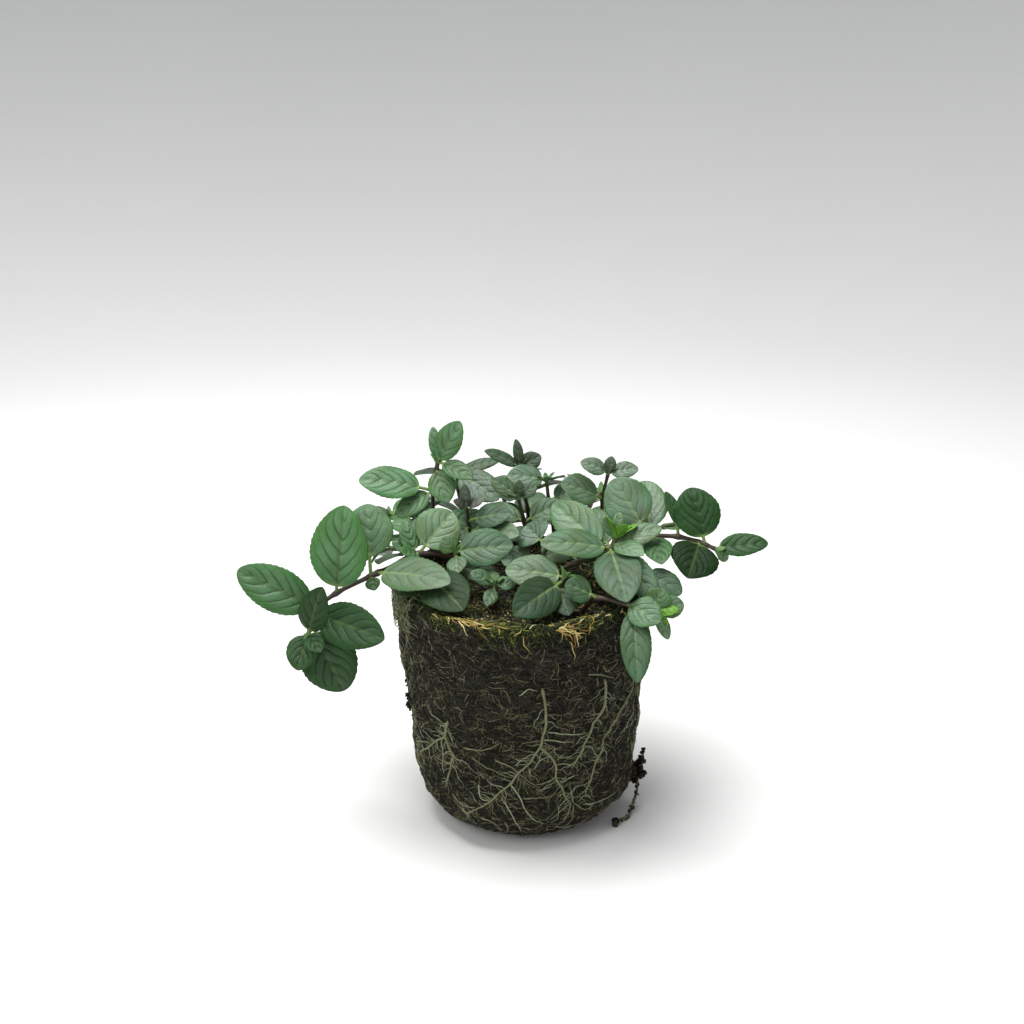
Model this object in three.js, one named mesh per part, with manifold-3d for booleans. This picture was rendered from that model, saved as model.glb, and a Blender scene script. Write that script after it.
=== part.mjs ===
// A young mint plant with its pot-shaped root ball, as it comes out of a 12 cm herb pot.
// Millimetres, +Z up. The origin is the middle of the ball's flat foot, -Y is the plant's front.
// The ball is one body of moist peat. Each leafy stem is one body with its leaves, and stands in a
// plain hole in the peat. The thick roots lie on the ball's wall, one body for each network.
import * as THREE from 'three';
import { mergeVertices } from 'three/addons/utils/BufferGeometryUtils.js';
import Module from 'manifold-3d';

// Driving dimensions of the root ball
const ballHeight = 98;
const rimRadius = 51;
const footConeRadius = 41.4; // where the wall's cone would meet the foot
const footEdgeRadius = 20; // rounding between wall and foot
const soilDepth = 3.5; // the soil inside the rim lies this much lower
const rimWidth = 6;
const footBulge = 1.9; // the foot stands out this much on one side, and is pared away on the other
const bulgeAzimuth = -1.07; // radians
const bulgeHeight = 12;
const bulgeSpread = 13;
const fitGap = 0.35; // air between two bodies that touch
const stemHoleDepth = 8;
const stemHoleSlack = 0.3; // added all round to the stem's corner radius and the fit gap

// Driving dimensions of leaves
const bladeThickness = 0.8;
const stalkThickness = 1.3;
const stalkHalfWidth = 0.75;
const tipHalfWidth = 0.35;
const bladeSkew = 0.88; // below 1, a blade is widest nearer its stalk
const endRoundness = 0.5; // power of the half sine that is a blade's outline: 0.5 rounds both ends
const tipSharpness = 0.06; // added to that power at the tip
const toothHeight = 0.055; // of the blade's half width
const foldedLeaf = 28; // longer leaves are folded along the midrib
const largeLeaf = 24; // longer leaves have three teeth a side
const smallLeaf = 14; // shorter ones have one tooth a side
const bow = 0.06; // arch of the midrib, of the leaf's length
const fold = 0.22; // rise of each blade half from the midrib
const edgeRoll = 0.16; // the same half bends back down
const waveHeight = 0.4; // of the blade's edge, on a leaf of this width:
const waveLeafWidth = 14;
const waveTurn = 9; // radians of wave from stalk to tip
const waveShift = 1.9; // by which the other half's wave is out of step

// How neighbouring leaves turn away from each other
const turnRounds = 60;
const turnLimit = 0.12; // radians in one round
const pullHome = 0.02;
const pushShare = 0.5;
const leafDistance = 0.22; // wanted between two leaves, of their length, within these limits:
const leastDistance = 2.2;
const mostDistance = 4.6;
const sameShootShare = 0.6; // leaves of one shoot may lie this much closer
const upperLift = 0.8; // the upper one of two leaves is also pushed up, the lower one down
const nearness = 0.5; // added to a distance before a push is divided by it
const neighbourReach = 0.62; // leaves whose middles are further apart than this share of their
const neighbourMargin = 6; // lengths and this margin never meet
const bladeMiddle = 0.55; // of a leaf's length, from its stem
const stemDistance = 4.2;
const stemPush = 1.5;
const soilClearance = 2.2;
const wallClearance = 3;
const ballPush = 0.6;

const wallSlope = Math.atan2(rimRadius - footConeRadius, ballHeight);
const edgeCentreRadius = footConeRadius + (rimRadius - footConeRadius) * footEdgeRadius / ballHeight
  - footEdgeRadius / Math.cos(wallSlope);

// Directions that a leaf's upper side can face
const viewer = [0, -0.65, 0.76];
const front = [0, -0.9, 0.45];
const back = [0, 0.5, 0.87];

// Leafy stems. foot: where the stem leaves the soil (x, y). route: its further points. thick: its
// corner radius at the soil and at its tip. A leaf: at (route point, 0 is the first point of route),
// tip, wide, stalk length, and the way it faces.
const leaf = (at, tip, wide, stalk = 2.5, face = viewer) => ({ at, tip, wide, stalk, face });

const shoots = [
  {
    name: 'left_runner',
    foot: [-19, 3],
    route: [[-27, -2, 106], [-41, -5, 109], [-52, -8, 104.5], [-59, -12, 102.5], [-72, -16, 97],
      [-79, -20, 92], [-82, -24, 84]],
    thick: [2.1, 1.3],
    leaves: [
      leaf(1, [-29, 6, 123], 18.5, 4, front),
      leaf(1, [-52, -3, 112], 8, 2),
      leaf(1.1, [-50, 3, 115], 8, 2),
      leaf(1, [-47, -13, 112], 8, 1.5),
      leaf(2.7, [-26, -31, 104], 16, 4),
      leaf(3, [-60, -2, 128.5], 19.5, 8, front),
      leaf(3, [-57, -18, 99], 6, 1.5, front),
      leaf(4, [-68, -13, 131.5], 22, 3, front),
      leaf(5.2, [-52, -35, 86], 17, 3, front),
      leaf(6, [-74, -31, 105], 12, 2, front),
      leaf(5, [-109, -18, 107], 17, 3, front),
      leaf(5.6, [-69, -29, 61.5], 21.5, 4, front),
      leaf(6, [-85, -34, 73], 12.5, 1.5, front),
      leaf(6, [-76, -32, 79], 8, 1.5, front),
    ],
  },
  {
    name: 'left_upright_shoot',
    foot: [-34, 24],
    route: [[-35, 24, 106], [-37, 20, 120], [-36, 19, 131], [-34.5, 18, 139.5]],
    thick: [1.9, 1.2],
    leaves: [
      leaf(0, [-55, 33, 110], 12),
      leaf(0.3, [-14, 30, 112], 12),
      leaf(1.6, [-66, 15, 132], 15, 6),
      leaf(1.6, [-51, 10, 120], 10),
      leaf(2.6, [-30, 9, 125], 11, 1.5, front),
      leaf(3, [-24, 18, 155.5], 11, 1.5, front),
      leaf(3, [-35.5, 20, 153.5], 5, 1.5, front),
      leaf(3, [-20, 9, 138], 8.5, 3),
    ],
  },
  {
    name: 'left_back_shoot',
    foot: [-22, 35.5],
    route: [[-23, 35.5, 106], [-27, 35, 120], [-28, 33, 130]],
    thick: [1.9, 1.2],
    leaves: [
      leaf(2, [-9, 22, 124], 14.5, 3),
      leaf(2, [-9.5, 36, 132], 6, 2),
      leaf(2, [-46, 40, 127], 11, 3, back),
      leaf(1.4, [-33, 55, 120], 12, 3, back),
      leaf(0.2, [-44, 52, 108], 12, 3, back),
    ],
  },
  {
    name: 'purple_young_shoot',
    foot: [-19, 13],
    route: [[-20, 13, 106], [-22, 11, 114.5], [-23, 10, 123.5]],
    thick: [1.6, 1.1],
    leaves: [
      leaf(2, [-27.5, 7, 129.5], 4, 1),
      leaf(2, [-18.5, 8, 129.5], 4, 1),
      leaf(2, [-23, 8, 132.5], 4.5, 1, front),
      leaf(1, [-28, 0, 114], 8, 3),
      leaf(1.3, [-5, 5, 122], 12, 4),
      leaf(0.8, [-2, -2, 116], 12, 3),
    ],
  },
  {
    name: 'centre_left_shoot',
    foot: [-25, -11],
    route: [[-25, -10, 104], [-26.5, -9, 111.5]],
    thick: [1.6, 1.1],
    leaves: [
      leaf(1, [-4, -12, 113], 15, 2, front),
      leaf(1, [-31, -10, 118], 8, 1, front),
      leaf(0.8, [-24, -19, 108], 8, 1.5, front),
      leaf(0.2, [-10, -14, 103], 9, 2),
    ],
  },
  {
    name: 'centre_back_shoot',
    foot: [1, 18],
    route: [[1, 18, 106], [0, 16, 115], [-2.5, 14, 126]],
    thick: [1.7, 1.1],
    leaves: [
      leaf(2, [-13, 17, 133.5], 7.5, 1),
      leaf(2, [4, 16, 131.5], 6.5, 1),
      leaf(2, [-2, 12, 134], 4, 1, front),
      leaf(1, [-16, 24, 119], 10),
      leaf(1, [16, 20, 123], 11, 3),
      leaf(0, [-8, 30, 108], 11),
    ],
  },
  {
    name: 'back_shoot',
    foot: [2, 41],
    route: [[2, 41, 108], [0, 38, 120], [-2, 36, 132]],
    thick: [1.8, 1.1],
    leaves: [
      leaf(2, [-15, 32, 142], 6, 2),
      leaf(2, [-5, 35, 144], 4.5, 1),
      leaf(2, [6, 36, 138], 8, 1, front),
      leaf(1, [-14, 50, 120], 12, 3, back),
      leaf(1, [17, 46, 122], 12, 3, back),
      leaf(0, [4, 62, 108], 14, 3, back),
      leaf(0.3, [-12, 34, 111], 12, 3),
    ],
  },
  {
    name: 'right_back_shoot',
    foot: [13, 31],
    route: [[12, 30, 108], [10, 28, 120], [9, 27, 129]],
    thick: [1.7, 1.1],
    leaves: [
      leaf(2, [-7, 25, 131.5], 12, 2),
      leaf(2, [16.5, 35, 128], 6, 2, back),
      leaf(1, [24, 38, 121], 11, 3),
    ],
  },
  {
    name: 'rosette_shoot',
    foot: [11, -12],
    route: [[14, -12, 105], [24, -12, 110], [33, -9, 113], [35, -8, 117]],
    thick: [1.9, 1.3],
    leaves: [
      leaf(2, [6, -19, 112.5], 13.5, 3),
      leaf(1.8, [11, 14, 121], 16, 4, front),
      leaf(2, [24, 14, 122], 15, 3, front),
      leaf(2.3, [54, -5, 115], 10, 2),
      leaf(2.4, [46, -18, 110.5], 9, 1.5),
      leaf(3, [36, -3, 126], 5, 1),
      leaf(3, [31, -5, 125], 5, 1),
      leaf(2, [38.5, -36, 99], 18, 3, front),
      leaf(1.8, [50.5, -25, 99.5], 14, 4),
      leaf(0.6, [24, -2, 105], 11, 3),
    ],
  },
  {
    name: 'centre_shoot',
    foot: [4, 1],
    route: [[6, 0, 104], [9, -2, 111]],
    thick: [1.6, 1.1],
    leaves: [
      leaf(1, [1, 6, 117.5], 15, 4, front),
      leaf(1, [22, 5, 112], 12, 3),
      leaf(0, [-9, -4, 106], 13, 3),
      leaf(0, [17, 13, 105], 12, 3),
    ],
  },
  {
    name: 'front_shoot',
    foot: [11, -26],
    route: [[12, -26, 102], [15, -24, 107]],
    thick: [1.6, 1.2],
    leaves: [
      leaf(1, [-7, -24, 110.5], 15, 2),
      leaf(0.7, [-4, -45, 99], 15.5, 4, front),
      leaf(0.3, [17, -39, 100], 10, 2, front),
    ],
  },
  {
    name: 'front_right_shoot',
    foot: [22, -28],
    route: [[27, -31, 101.5], [36, -34, 101], [44, -33, 99.5], [49, -32.5, 97.5]],
    thick: [1.7, 1.2],
    leaves: [
      leaf(0, [14, -32, 105], 12, 3),
      leaf(1.2, [49, -41, 94], 12.5, 2, front),
      leaf(2.8, [51.5, -30, 105], 10.5, 1, front),
      leaf(3, [59.5, -31, 97.5], 9, 1, front),
      leaf(3, [55, -37, 88.5], 5, 1, front),
      leaf(1.5, [40.5, -55, 79.5], 11.5, 3, front),
    ],
  },
  {
    name: 'right_runner',
    foot: [36, 4],
    route: [[40, 3, 106], [49, 0, 114], [57, 0, 115], [64, -2, 114.5], [70, -4, 113], [74, -5, 111.5]],
    thick: [2, 1.2],
    leaves: [
      leaf(1, [31.5, 10, 132.5], 19, 7, front),
      leaf(1, [49, 24, 130], 16, 5, front),
      leaf(1.2, [51, -17, 108], 11, 2, front),
      leaf(2.4, [56, 13, 129], 8, 5, back),
      leaf(3.6, [60, -17, 104], 19, 1.5, front),
      leaf(4, [64.5, 7, 132.5], 18, 3, front),
      leaf(5, [94, -6, 114], 10, 1.5),
      leaf(5, [80, -1, 106], 5, 1, front),
    ],
  },
  {
    name: 'right_upright_shoot',
    foot: [31, 29],
    route: [[32, 30, 108], [32, 28, 121], [34, 28, 132]],
    thick: [1.7, 1.1],
    leaves: [
      leaf(2, [23, 29, 137], 8, 1.5),
      leaf(2, [46, 27, 135], 8, 1.5),
      leaf(2, [36, 28, 139], 5, 1, front),
      leaf(1, [14, 24, 127], 14.5, 3),
      leaf(1, [50, 35, 122], 12, 3),
      leaf(0, [34, 50, 110], 13, 3, back),
      leaf(0.2, [20, 22, 107], 11, 3),
    ],
  },
  {
    name: 'front_left_shoot',
    foot: [-11, -24],
    route: [[-11, -24, 101], [-11, -24, 104]],
    thick: [1.4, 1],
    leaves: [
      leaf(1, [-21, -25, 107], 6.5, 1.5),
      leaf(1, [-3, -24, 104.5], 6, 1.5),
      leaf(0.5, [-14, -33, 99], 5.5, 1.5, front),
      leaf(0.5, [-13, -15, 107], 6, 1.5),
    ],
  },
  {
    name: 'rim_left_shoot',
    foot: [-36, -14],
    route: [[-37, -16, 102], [-37, -18, 105]],
    thick: [1.5, 1.1],
    leaves: [
      leaf(1, [-22, -39, 99.5], 18.5, 3),
      leaf(0.2, [-48, -25, 100], 9, 3),
    ],
  },
  {
    name: 'rim_right_shoot',
    foot: [40, -15],
    route: [[41, -16, 102], [45, -16, 106]],
    thick: [1.5, 1.1],
    leaves: [
      leaf(1, [61, -21, 104], 11, 2),
      leaf(0.7, [35, -3, 106], 9, 3),
    ],
  },
];

// Shoots behind, out of the front view, grown by one rule: name, foot, lean azimuth, reach outwards,
// height of the tip, length of the longest leaf
const grownShoots = [
  ['back_right_runner', [43, 19], 22, 24, 111, 21],
  ['back_low_shoot_1', [23.5, 41], 62, 20, 114, 26],
  ['back_low_shoot_2', [-8, 46.5], 95, 15, 117, 26],
  ['back_left_runner', [-38, 28.5], 140, 24, 108, 25],
  ['left_low_shoot', [-45, 8], 172, 14, 104, 21],
];
const grownPairs = [0, 1, 1.95]; // route points that the pairs grow from
const grownFootHeight = 104;
const grownStem = [1.7, 1.1];
const grownSway = 24; // degrees over which a leaf's direction varies
const grownRise = [0.1, 0.3]; // height of a leaf's tip over its base, of its length: least, and spread
const grownLean = 0.35; // outward tilt of its upper side
const pairShrink = 0.17; // each pair is this much shorter than the pair below
const grownWidth = 0.56; // of the leaf's length

const radians = (degrees) => degrees * Math.PI / 180;

// A repeatable random number between 0 and 1
function chance(seed) {
  const wide = Math.sin(seed * 12.9898) * 43758.5453;
  return wide - Math.floor(wide);
}

// Opposite pairs of leaves along a leaning stem, each pair turned a quarter from the last
function growShoot([name, foot, azimuth, reach, height, longest], order) {
  const out = [Math.cos(radians(azimuth)), Math.sin(radians(azimuth))];
  const leaning = (t, z) => [foot[0] + out[0] * reach * t, foot[1] + out[1] * reach * t, z];
  const middle = (grownFootHeight + height) / 2 + 2;
  const route = [leaning(0.12, grownFootHeight), leaning(0.5, middle), leaning(1, height)];
  const leaves = [];
  grownPairs.forEach((at, pair) => {
    const length = longest * (1 - pairShrink * pair);
    [0, 180].forEach((side) => {
      const seed = order * 20 + pair * 2 + (side ? 1 : 0) + 1;
      const sway = grownSway * (chance(seed) - 0.5);
      const turn = radians(azimuth + side + 90 * ((pair + 1) % 2) + sway);
      const from = route[Math.round(at)];
      const rise = length * (grownRise[0] + grownRise[1] * chance(seed + 0.5));
      const tip = [from[0] + length * Math.cos(turn), from[1] + length * Math.sin(turn), from[2] + rise];
      const face = [grownLean * out[0], grownLean * out[1], 0.87];
      leaves.push(leaf(at, tip, length * grownWidth, 2.5, face));
    });
  });
  return { name, foot, route, thick: grownStem, leaves };
}

// Root networks on the wall. Each route is a main root or a fork of it, as azimuth in degrees and
// height in mm. branches: side roots on each route.
const rootNetworks = [
  {
    name: 'root_front_long',
    routes: [
      [[278, 73], [280, 62], [279, 53], [277, 46], [272, 40], [265, 33], [257, 25], [246, 18],
        [240, 15]],
      [[278, 47], [284, 42], [286, 34], [290, 26], [294, 20]],
    ],
    branches: [8, 4],
  },
  {
    name: 'root_front_inner',
    routes: [[[308, 72], [308, 63], [304, 56], [300, 49], [297, 42], [294, 36]]],
    branches: [5],
  },
  {
    name: 'root_front_outer',
    routes: [[[336, 66], [326, 59], [317, 53], [312, 46], [308, 38], [305, 28], [303, 21]]],
    branches: [7],
  },
  {
    name: 'root_left',
    routes: [
      [[233, 54], [229, 46], [219, 39], [205, 30]],
      [[229, 46], [233, 39], [231, 31], [226, 22]],
    ],
    branches: [4, 2],
  },
];
// Networks behind, by rule: name, azimuth, top height, bottom height, drift in degrees
const grownRoots = [
  ['root_right', 8, 70, 22, -26],
  ['root_back_1', 40, 78, 20, 18],
  ['root_back_2', 98, 66, 17, -18],
  ['root_back_3', 122, 80, 24, 14],
  ['root_back_4', 180, 70, 18, -22],
];
const grownRootPoints = 6;
const grownRootSway = 9; // degrees over which its points stray
const rootRadius = 0.75;
const rootTaper = 0.35;
const branchRadius = 0.45;
const branchLength = [4.5, 6]; // least, and spread
const branchAngle = [0.75, 0.5]; // radians from the main root: least, and spread
const branchSpan = [0.08, 0.86]; // share of the route at the first side root, and the share they cover
const branchFloor = 7; // no side root ends lower

// Loose strand at the right: a lump of peat against the wall, held by a root whose short arm stands
// off the wall and whose long arm trails down to the ground. Arms are offsets from the lump.
const lumpPlace = [352, 15]; // azimuth in degrees, height
const lumpSize = [2.9, 3.4, 3.8];
const lumpFlats = 0.75; // its faces and the wall's lie this much inside their curves
const strandRadius = 0.6;
const strandArms = [
  [[0, 0, 0], [2.2, -1, 5], [3.2, -1.2, 10]],
  [[0, 0, 0], [0.3, -3, -6], [-0.8, -7, -11], [-3.8, -12, -13.5], [-8.2, -16.6, -13.6]],
];
const knobPlace = [-9, -17.3, -13.2];
const knobSize = [1.8, 1.6, 1.5];

const colours = {
  peat: 0x2e261c,
  runner: 0x3f6b3c,
  clump: 0x5c7a56,
  root: 0x9a9068,
};

const wasm = await Module();
wasm.setup();

// Small vector helpers on plain arrays
const add = (a, b) => [a[0] + b[0], a[1] + b[1], a[2] + b[2]];
const minus = (a, b) => [a[0] - b[0], a[1] - b[1], a[2] - b[2]];
const times = (a, k) => [a[0] * k, a[1] * k, a[2] * k];
const dot = (a, b) => a[0] * b[0] + a[1] * b[1] + a[2] * b[2];
const cross = ([a, b, c], [d, e, f]) => [b * f - c * e, c * d - a * f, a * e - b * d];
const unit = (a) => times(a, 1 / Math.hypot(...a));

// The ball's wall: a cone that narrows downwards and is rounded into the flat foot, with low wide
// lumps and a foot that is fuller at its front right than at its back left
function wallRadius(height) {
  if (height >= footEdgeRadius * (1 - Math.sin(wallSlope))) {
    return footConeRadius + (rimRadius - footConeRadius) * height / ballHeight;
  }
  const rise = footEdgeRadius - height;
  return edgeCentreRadius + Math.sqrt(footEdgeRadius ** 2 - rise ** 2);
}

function ballRadius(azimuth, height) {
  const fade = Math.min(1, height / 14);
  const lumps = 0.7 * Math.sin(3 * azimuth + 0.06 * height + 1)
    + 0.5 * Math.sin(5 * azimuth - 0.11 * height)
    + 0.35 * Math.sin(8 * azimuth + 0.19 * height + 2);
  const low = Math.exp(-(((height - bulgeHeight) / bulgeSpread) ** 2));
  return wallRadius(height) + fade * (lumps + footBulge * low * Math.cos(azimuth - bulgeAzimuth));
}

// The soil inside the rim is a shallow, uneven dish
function soilHeight(x, y) {
  const waves = 0.5 * Math.sin(0.16 * x + 1) * Math.sin(0.19 * y)
    + 0.25 * Math.sin(0.35 * x - 0.2 * y);
  return ballHeight - soilDepth + waves;
}

// One closed body from a vertex list and a triangle list
function solid(points, triangles) {
  const geometry = new THREE.BufferGeometry();
  geometry.setAttribute('position', new THREE.BufferAttribute(new Float32Array(points.flat()), 3));
  geometry.setIndex(triangles.flat());
  const merged = mergeVertices(geometry, 1e-4);
  return new wasm.Manifold(new wasm.Mesh({
    numProp: 3,
    vertProperties: merged.attributes.position.array,
    triVerts: new Uint32Array(merged.index.array),
  }));
}

function geometryOf(manifold) {
  const mesh = manifold.getMesh();
  const geometry = new THREE.BufferGeometry();
  geometry.setAttribute('position', new THREE.BufferAttribute(new Float32Array(mesh.vertProperties), 3));
  geometry.setIndex(Array.from(mesh.triVerts));
  return geometry;
}

// Rings of equal length joined into a skin, with a point closing each end
function skin(rings, start, end) {
  const count = rings[0].length;
  const points = [start, ...rings.flat(), end];
  const last = points.length - 1;
  const id = (row, side) => 1 + row * count + side % count;
  const triangles = [];
  for (let side = 0; side < count; side++) {
    triangles.push([0, id(0, side + 1), id(0, side)]);
    triangles.push([last, id(rings.length - 1, side), id(rings.length - 1, side + 1)]);
    for (let row = 0; row < rings.length - 1; row++) {
      triangles.push([id(row, side), id(row, side + 1), id(row + 1, side + 1)]);
      triangles.push([id(row, side), id(row + 1, side + 1), id(row + 1, side)]);
    }
  }
  return solid(points, triangles);
}

// A tube of few sides along a centre line. Its first side direction is carried along without twist.
function tube(centres, radiusAt, sides) {
  const rings = [];
  let across = null;
  centres.forEach((centre, i) => {
    const after = centres[Math.min(i + 1, centres.length - 1)];
    const ahead = unit(minus(after, centres[Math.max(i - 1, 0)]));
    const guide = across ?? (Math.abs(ahead[0]) < 0.8 ? [1, 0, 0] : [0, 1, 0]);
    across = unit(minus(guide, times(ahead, dot(guide, ahead))));
    const other = cross(ahead, across);
    const radius = radiusAt(i / (centres.length - 1));
    const ring = [];
    for (let side = 0; side < sides; side++) {
      const angle = 2 * Math.PI * side / sides;
      const out = add(times(across, Math.cos(angle)), times(other, Math.sin(angle)));
      ring.push(add(centre, times(out, radius)));
    }
    rings.push(ring);
  });
  return skin(rings, centres[0], centres[centres.length - 1]);
}

// A lump: an ellipsoid with few faces
function lump(centre, size) {
  const geometry = new THREE.SphereGeometry(1, 7, 5);
  geometry.deleteAttribute('normal');
  geometry.deleteAttribute('uv');
  geometry.scale(...size);
  geometry.translate(...centre);
  const merged = mergeVertices(geometry, 1e-4);
  const points = [];
  for (let i = 0; i < merged.attributes.position.count; i++) {
    points.push(new THREE.Vector3().fromBufferAttribute(merged.attributes.position, i).toArray());
  }
  const triangles = [];
  for (let i = 0; i < merged.index.count; i += 3) {
    const [a, b, c] = [0, 1, 2].map((k) => merged.index.getX(i + k));
    if (a !== b && b !== c && c !== a) triangles.push([a, b, c]);
  }
  return solid(points, triangles);
}

// Smooth curve through the points, t counted in points
function curvePoint(points, t) {
  const vectors = points.map((p) => new THREE.Vector3(...p));
  const curve = new THREE.CatmullRomCurve3(vectors, false, 'catmullrom', 0.5);
  return curve.getPoint(Math.min(1, Math.max(0, t / (points.length - 1)))).toArray();
}

const stemPoints = (shoot) => [[...shoot.foot, ballHeight - soilDepth + 1], ...shoot.route];
const stemRadius = (shoot, t) => shoot.thick[0] + (shoot.thick[1] - shoot.thick[0]) * t;

// The form of a leaf in its own frame: along the midrib, across it, and up from it
function bladeHalf(wide, u) {
  const share = Math.min(1, Math.max(0, u)) ** bladeSkew;
  return wide / 2 * Math.sin(Math.PI * share) ** (endRoundness + tipSharpness * u);
}

function leafHeight(shape, along, across) {
  const t = along / shape.length;
  const half = shape.wide / 2;
  const share = Math.abs(across) / half;
  const arch = bow * shape.length * 4 * t * (1 - t);
  const cup = half * (fold * share - edgeRoll * share * share);
  const u = (along - shape.stalk) / (shape.length - shape.stalk);
  const wave = Math.sin(waveTurn * u + shape.phase + (across < 0 ? waveShift : 0));
  return arch + cup + waveHeight * shape.wide / waveLeafWidth * share * share * wave;
}

// A leaf's own frame: along, across, and up made square to along
function frameOf(along, upward) {
  const up = unit(minus(upward, times(along, dot(upward, along))));
  return [along, cross(up, along), up];
}

// Every leaf with its base on its stem and its own frame
function settle(allShoots) {
  const leaves = [];
  allShoots.forEach((shoot, home) => {
    const points = stemPoints(shoot);
    shoot.leaves.forEach((entry) => {
      const base = curvePoint(points, entry.at + 1);
      const reach = minus(entry.tip, base);
      const along = unit(reach);
      const up = entry.face;
      leaves.push({
        home,
        base,
        length: Math.hypot(...reach),
        wide: entry.wide,
        stalk: entry.stalk,
        phase: 6.28 * chance(leaves.length + 0.3),
        axes: frameOf(along, up),
        rest: frameOf(along, up),
      });
    });
  });
  return leaves;
}

// Sample points of a blade, seven rows of five from just past the stalk to just before the tip
const sampleRows = 7;
const ownStemSamples = 15; // the first ones, near its own stem, which they needn't clear

function bladeSamples(shape) {
  const samples = [];
  for (let row = 0; row < sampleRows; row++) {
    const u = 0.04 + 0.94 * row / (sampleRows - 1);
    const along = shape.stalk + (shape.length - shape.stalk) * u;
    for (let column = -2; column <= 2; column++) {
      const across = 0.48 * column * bladeHalf(shape.wide, u);
      samples.push([along, across, leafHeight(shape, along, across)]);
    }
  }
  return samples;
}

const place = (shape, [along, across, up]) => add(shape.base, add(times(shape.axes[0], along),
  add(times(shape.axes[1], across), times(shape.axes[2], up))));

// Leaves turn about their bases until they clear each other, the stems, the soil and the ball.
// Each round sums a turning push over the blade's points, and a pull back to the drawn direction.
function clearEachOther(leaves, stems) {
  const local = leaves.map(bladeSamples);
  const size = leaves.map((shape) => shape.length);
  const spread = size.map((length) => {
    return Math.min(mostDistance, Math.max(leastDistance, leafDistance * length));
  });
  const middle = leaves.map((shape) => place(shape, [shape.length * bladeMiddle, 0, 0]));
  const pairs = [];
  for (let i = 0; i < leaves.length; i++) {
    for (let j = i + 1; j < leaves.length; j++) {
      const apart = Math.hypot(...minus(middle[i], middle[j]));
      if (apart >= neighbourReach * (size[i] + size[j]) + neighbourMargin) continue;
      pairs.push([i, j, middle[i][2] >= middle[j][2] ? 1 : -1]);
    }
  }
  for (let round = 0; round < turnRounds; round++) {
    const world = leaves.map((shape, i) => local[i].map((sample) => place(shape, sample)));
    const turn = leaves.map(() => [0, 0, 0]);
    const press = (i, point, push) => {
      turn[i] = add(turn[i], cross(minus(point, leaves[i].base), push));
    };
    pairs.forEach(([i, j, above]) => {
      const closeness = leaves[i].home === leaves[j].home ? sameShootShare : 1;
      const wanted = closeness * (spread[i] + spread[j]) / 2;
      world[i].forEach((p) => {
        world[j].forEach((q) => {
          const away = minus(p, q);
          const gap = Math.hypot(...away);
          if (gap >= wanted) return;
          const lifted = add(times(away, 1 / (gap + nearness)), [0, 0, upperLift * above]);
          const push = times(lifted, (wanted - gap) / wanted);
          press(i, p, push);
          press(j, q, times(push, -1));
        });
      });
    });
    world.forEach((points, i) => {
      points.forEach((p, k) => {
        stems.forEach((stem) => {
          if (stem.home === leaves[i].home && k < ownStemSamples) return;
          const away = minus(p, stem.point);
          const gap = Math.hypot(...away);
          if (gap >= stemDistance) return;
          press(i, p, times(away, stemPush * (stemDistance - gap) / (gap + nearness) / stemDistance));
        });
        const out = Math.hypot(p[0], p[1]);
        const edge = wallRadius(Math.min(p[2], ballHeight)) + wallClearance;
        const floor = ballHeight + soilClearance - (out < rimRadius - rimWidth ? soilDepth * 0.6 : 0);
        if (out >= edge || p[2] >= floor) return;
        const sideways = edge - out < floor - p[2];
        const outward = [p[0] / out * (edge - out), p[1] / out * (edge - out), 0];
        press(i, p, times(sideways ? outward : [0, 0, floor - p[2]], ballPush));
      });
    });
    leaves.forEach((shape, i) => {
      const load = times(turn[i], pushShare / (size[i] * size[i] * 3));
      const home = shape.axes.reduce((sum, axis, k) => add(sum, cross(axis, shape.rest[k])), [0, 0, 0]);
      const swing = add(load, times(home, pullHome));
      const angle = Math.hypot(...swing);
      const limited = times(swing, angle > turnLimit ? turnLimit / angle : 1);
      const along = unit(add(shape.axes[0], cross(limited, shape.axes[0])));
      shape.axes = frameOf(along, add(shape.axes[2], cross(limited, shape.axes[2])));
    });
  }
}

// Rows of a leaf, each its place along the leaf, its half width and its thickness: the stalk, then
// the blade with a notch and a tooth in turn along its edge, then the tip
function leafRows(shape) {
  const teeth = shape.length > largeLeaf ? 3 : shape.length > smallLeaf ? 2 : 1;
  const blade = shape.length - shape.stalk;
  const rows = [[-0.5, stalkHalfWidth, stalkThickness], [shape.stalk, stalkHalfWidth, stalkThickness]];
  for (let k = 0; k < 2 * teeth; k++) {
    const u = 0.04 + (0.88 * (k + 0.6 + 0.2 * (k % 2))) / (2 * teeth);
    const cut = k % 2 ? toothHeight : -toothHeight;
    rows.push([shape.stalk + blade * u, bladeHalf(shape.wide, u) * (1 + cut), bladeThickness]);
  }
  if (teeth > 1) rows.push([shape.stalk + blade * 0.96, bladeHalf(shape.wide, 0.96), bladeThickness]);
  rows.push([shape.length, tipHalfWidth, bladeThickness]);
  return rows;
}

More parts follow.
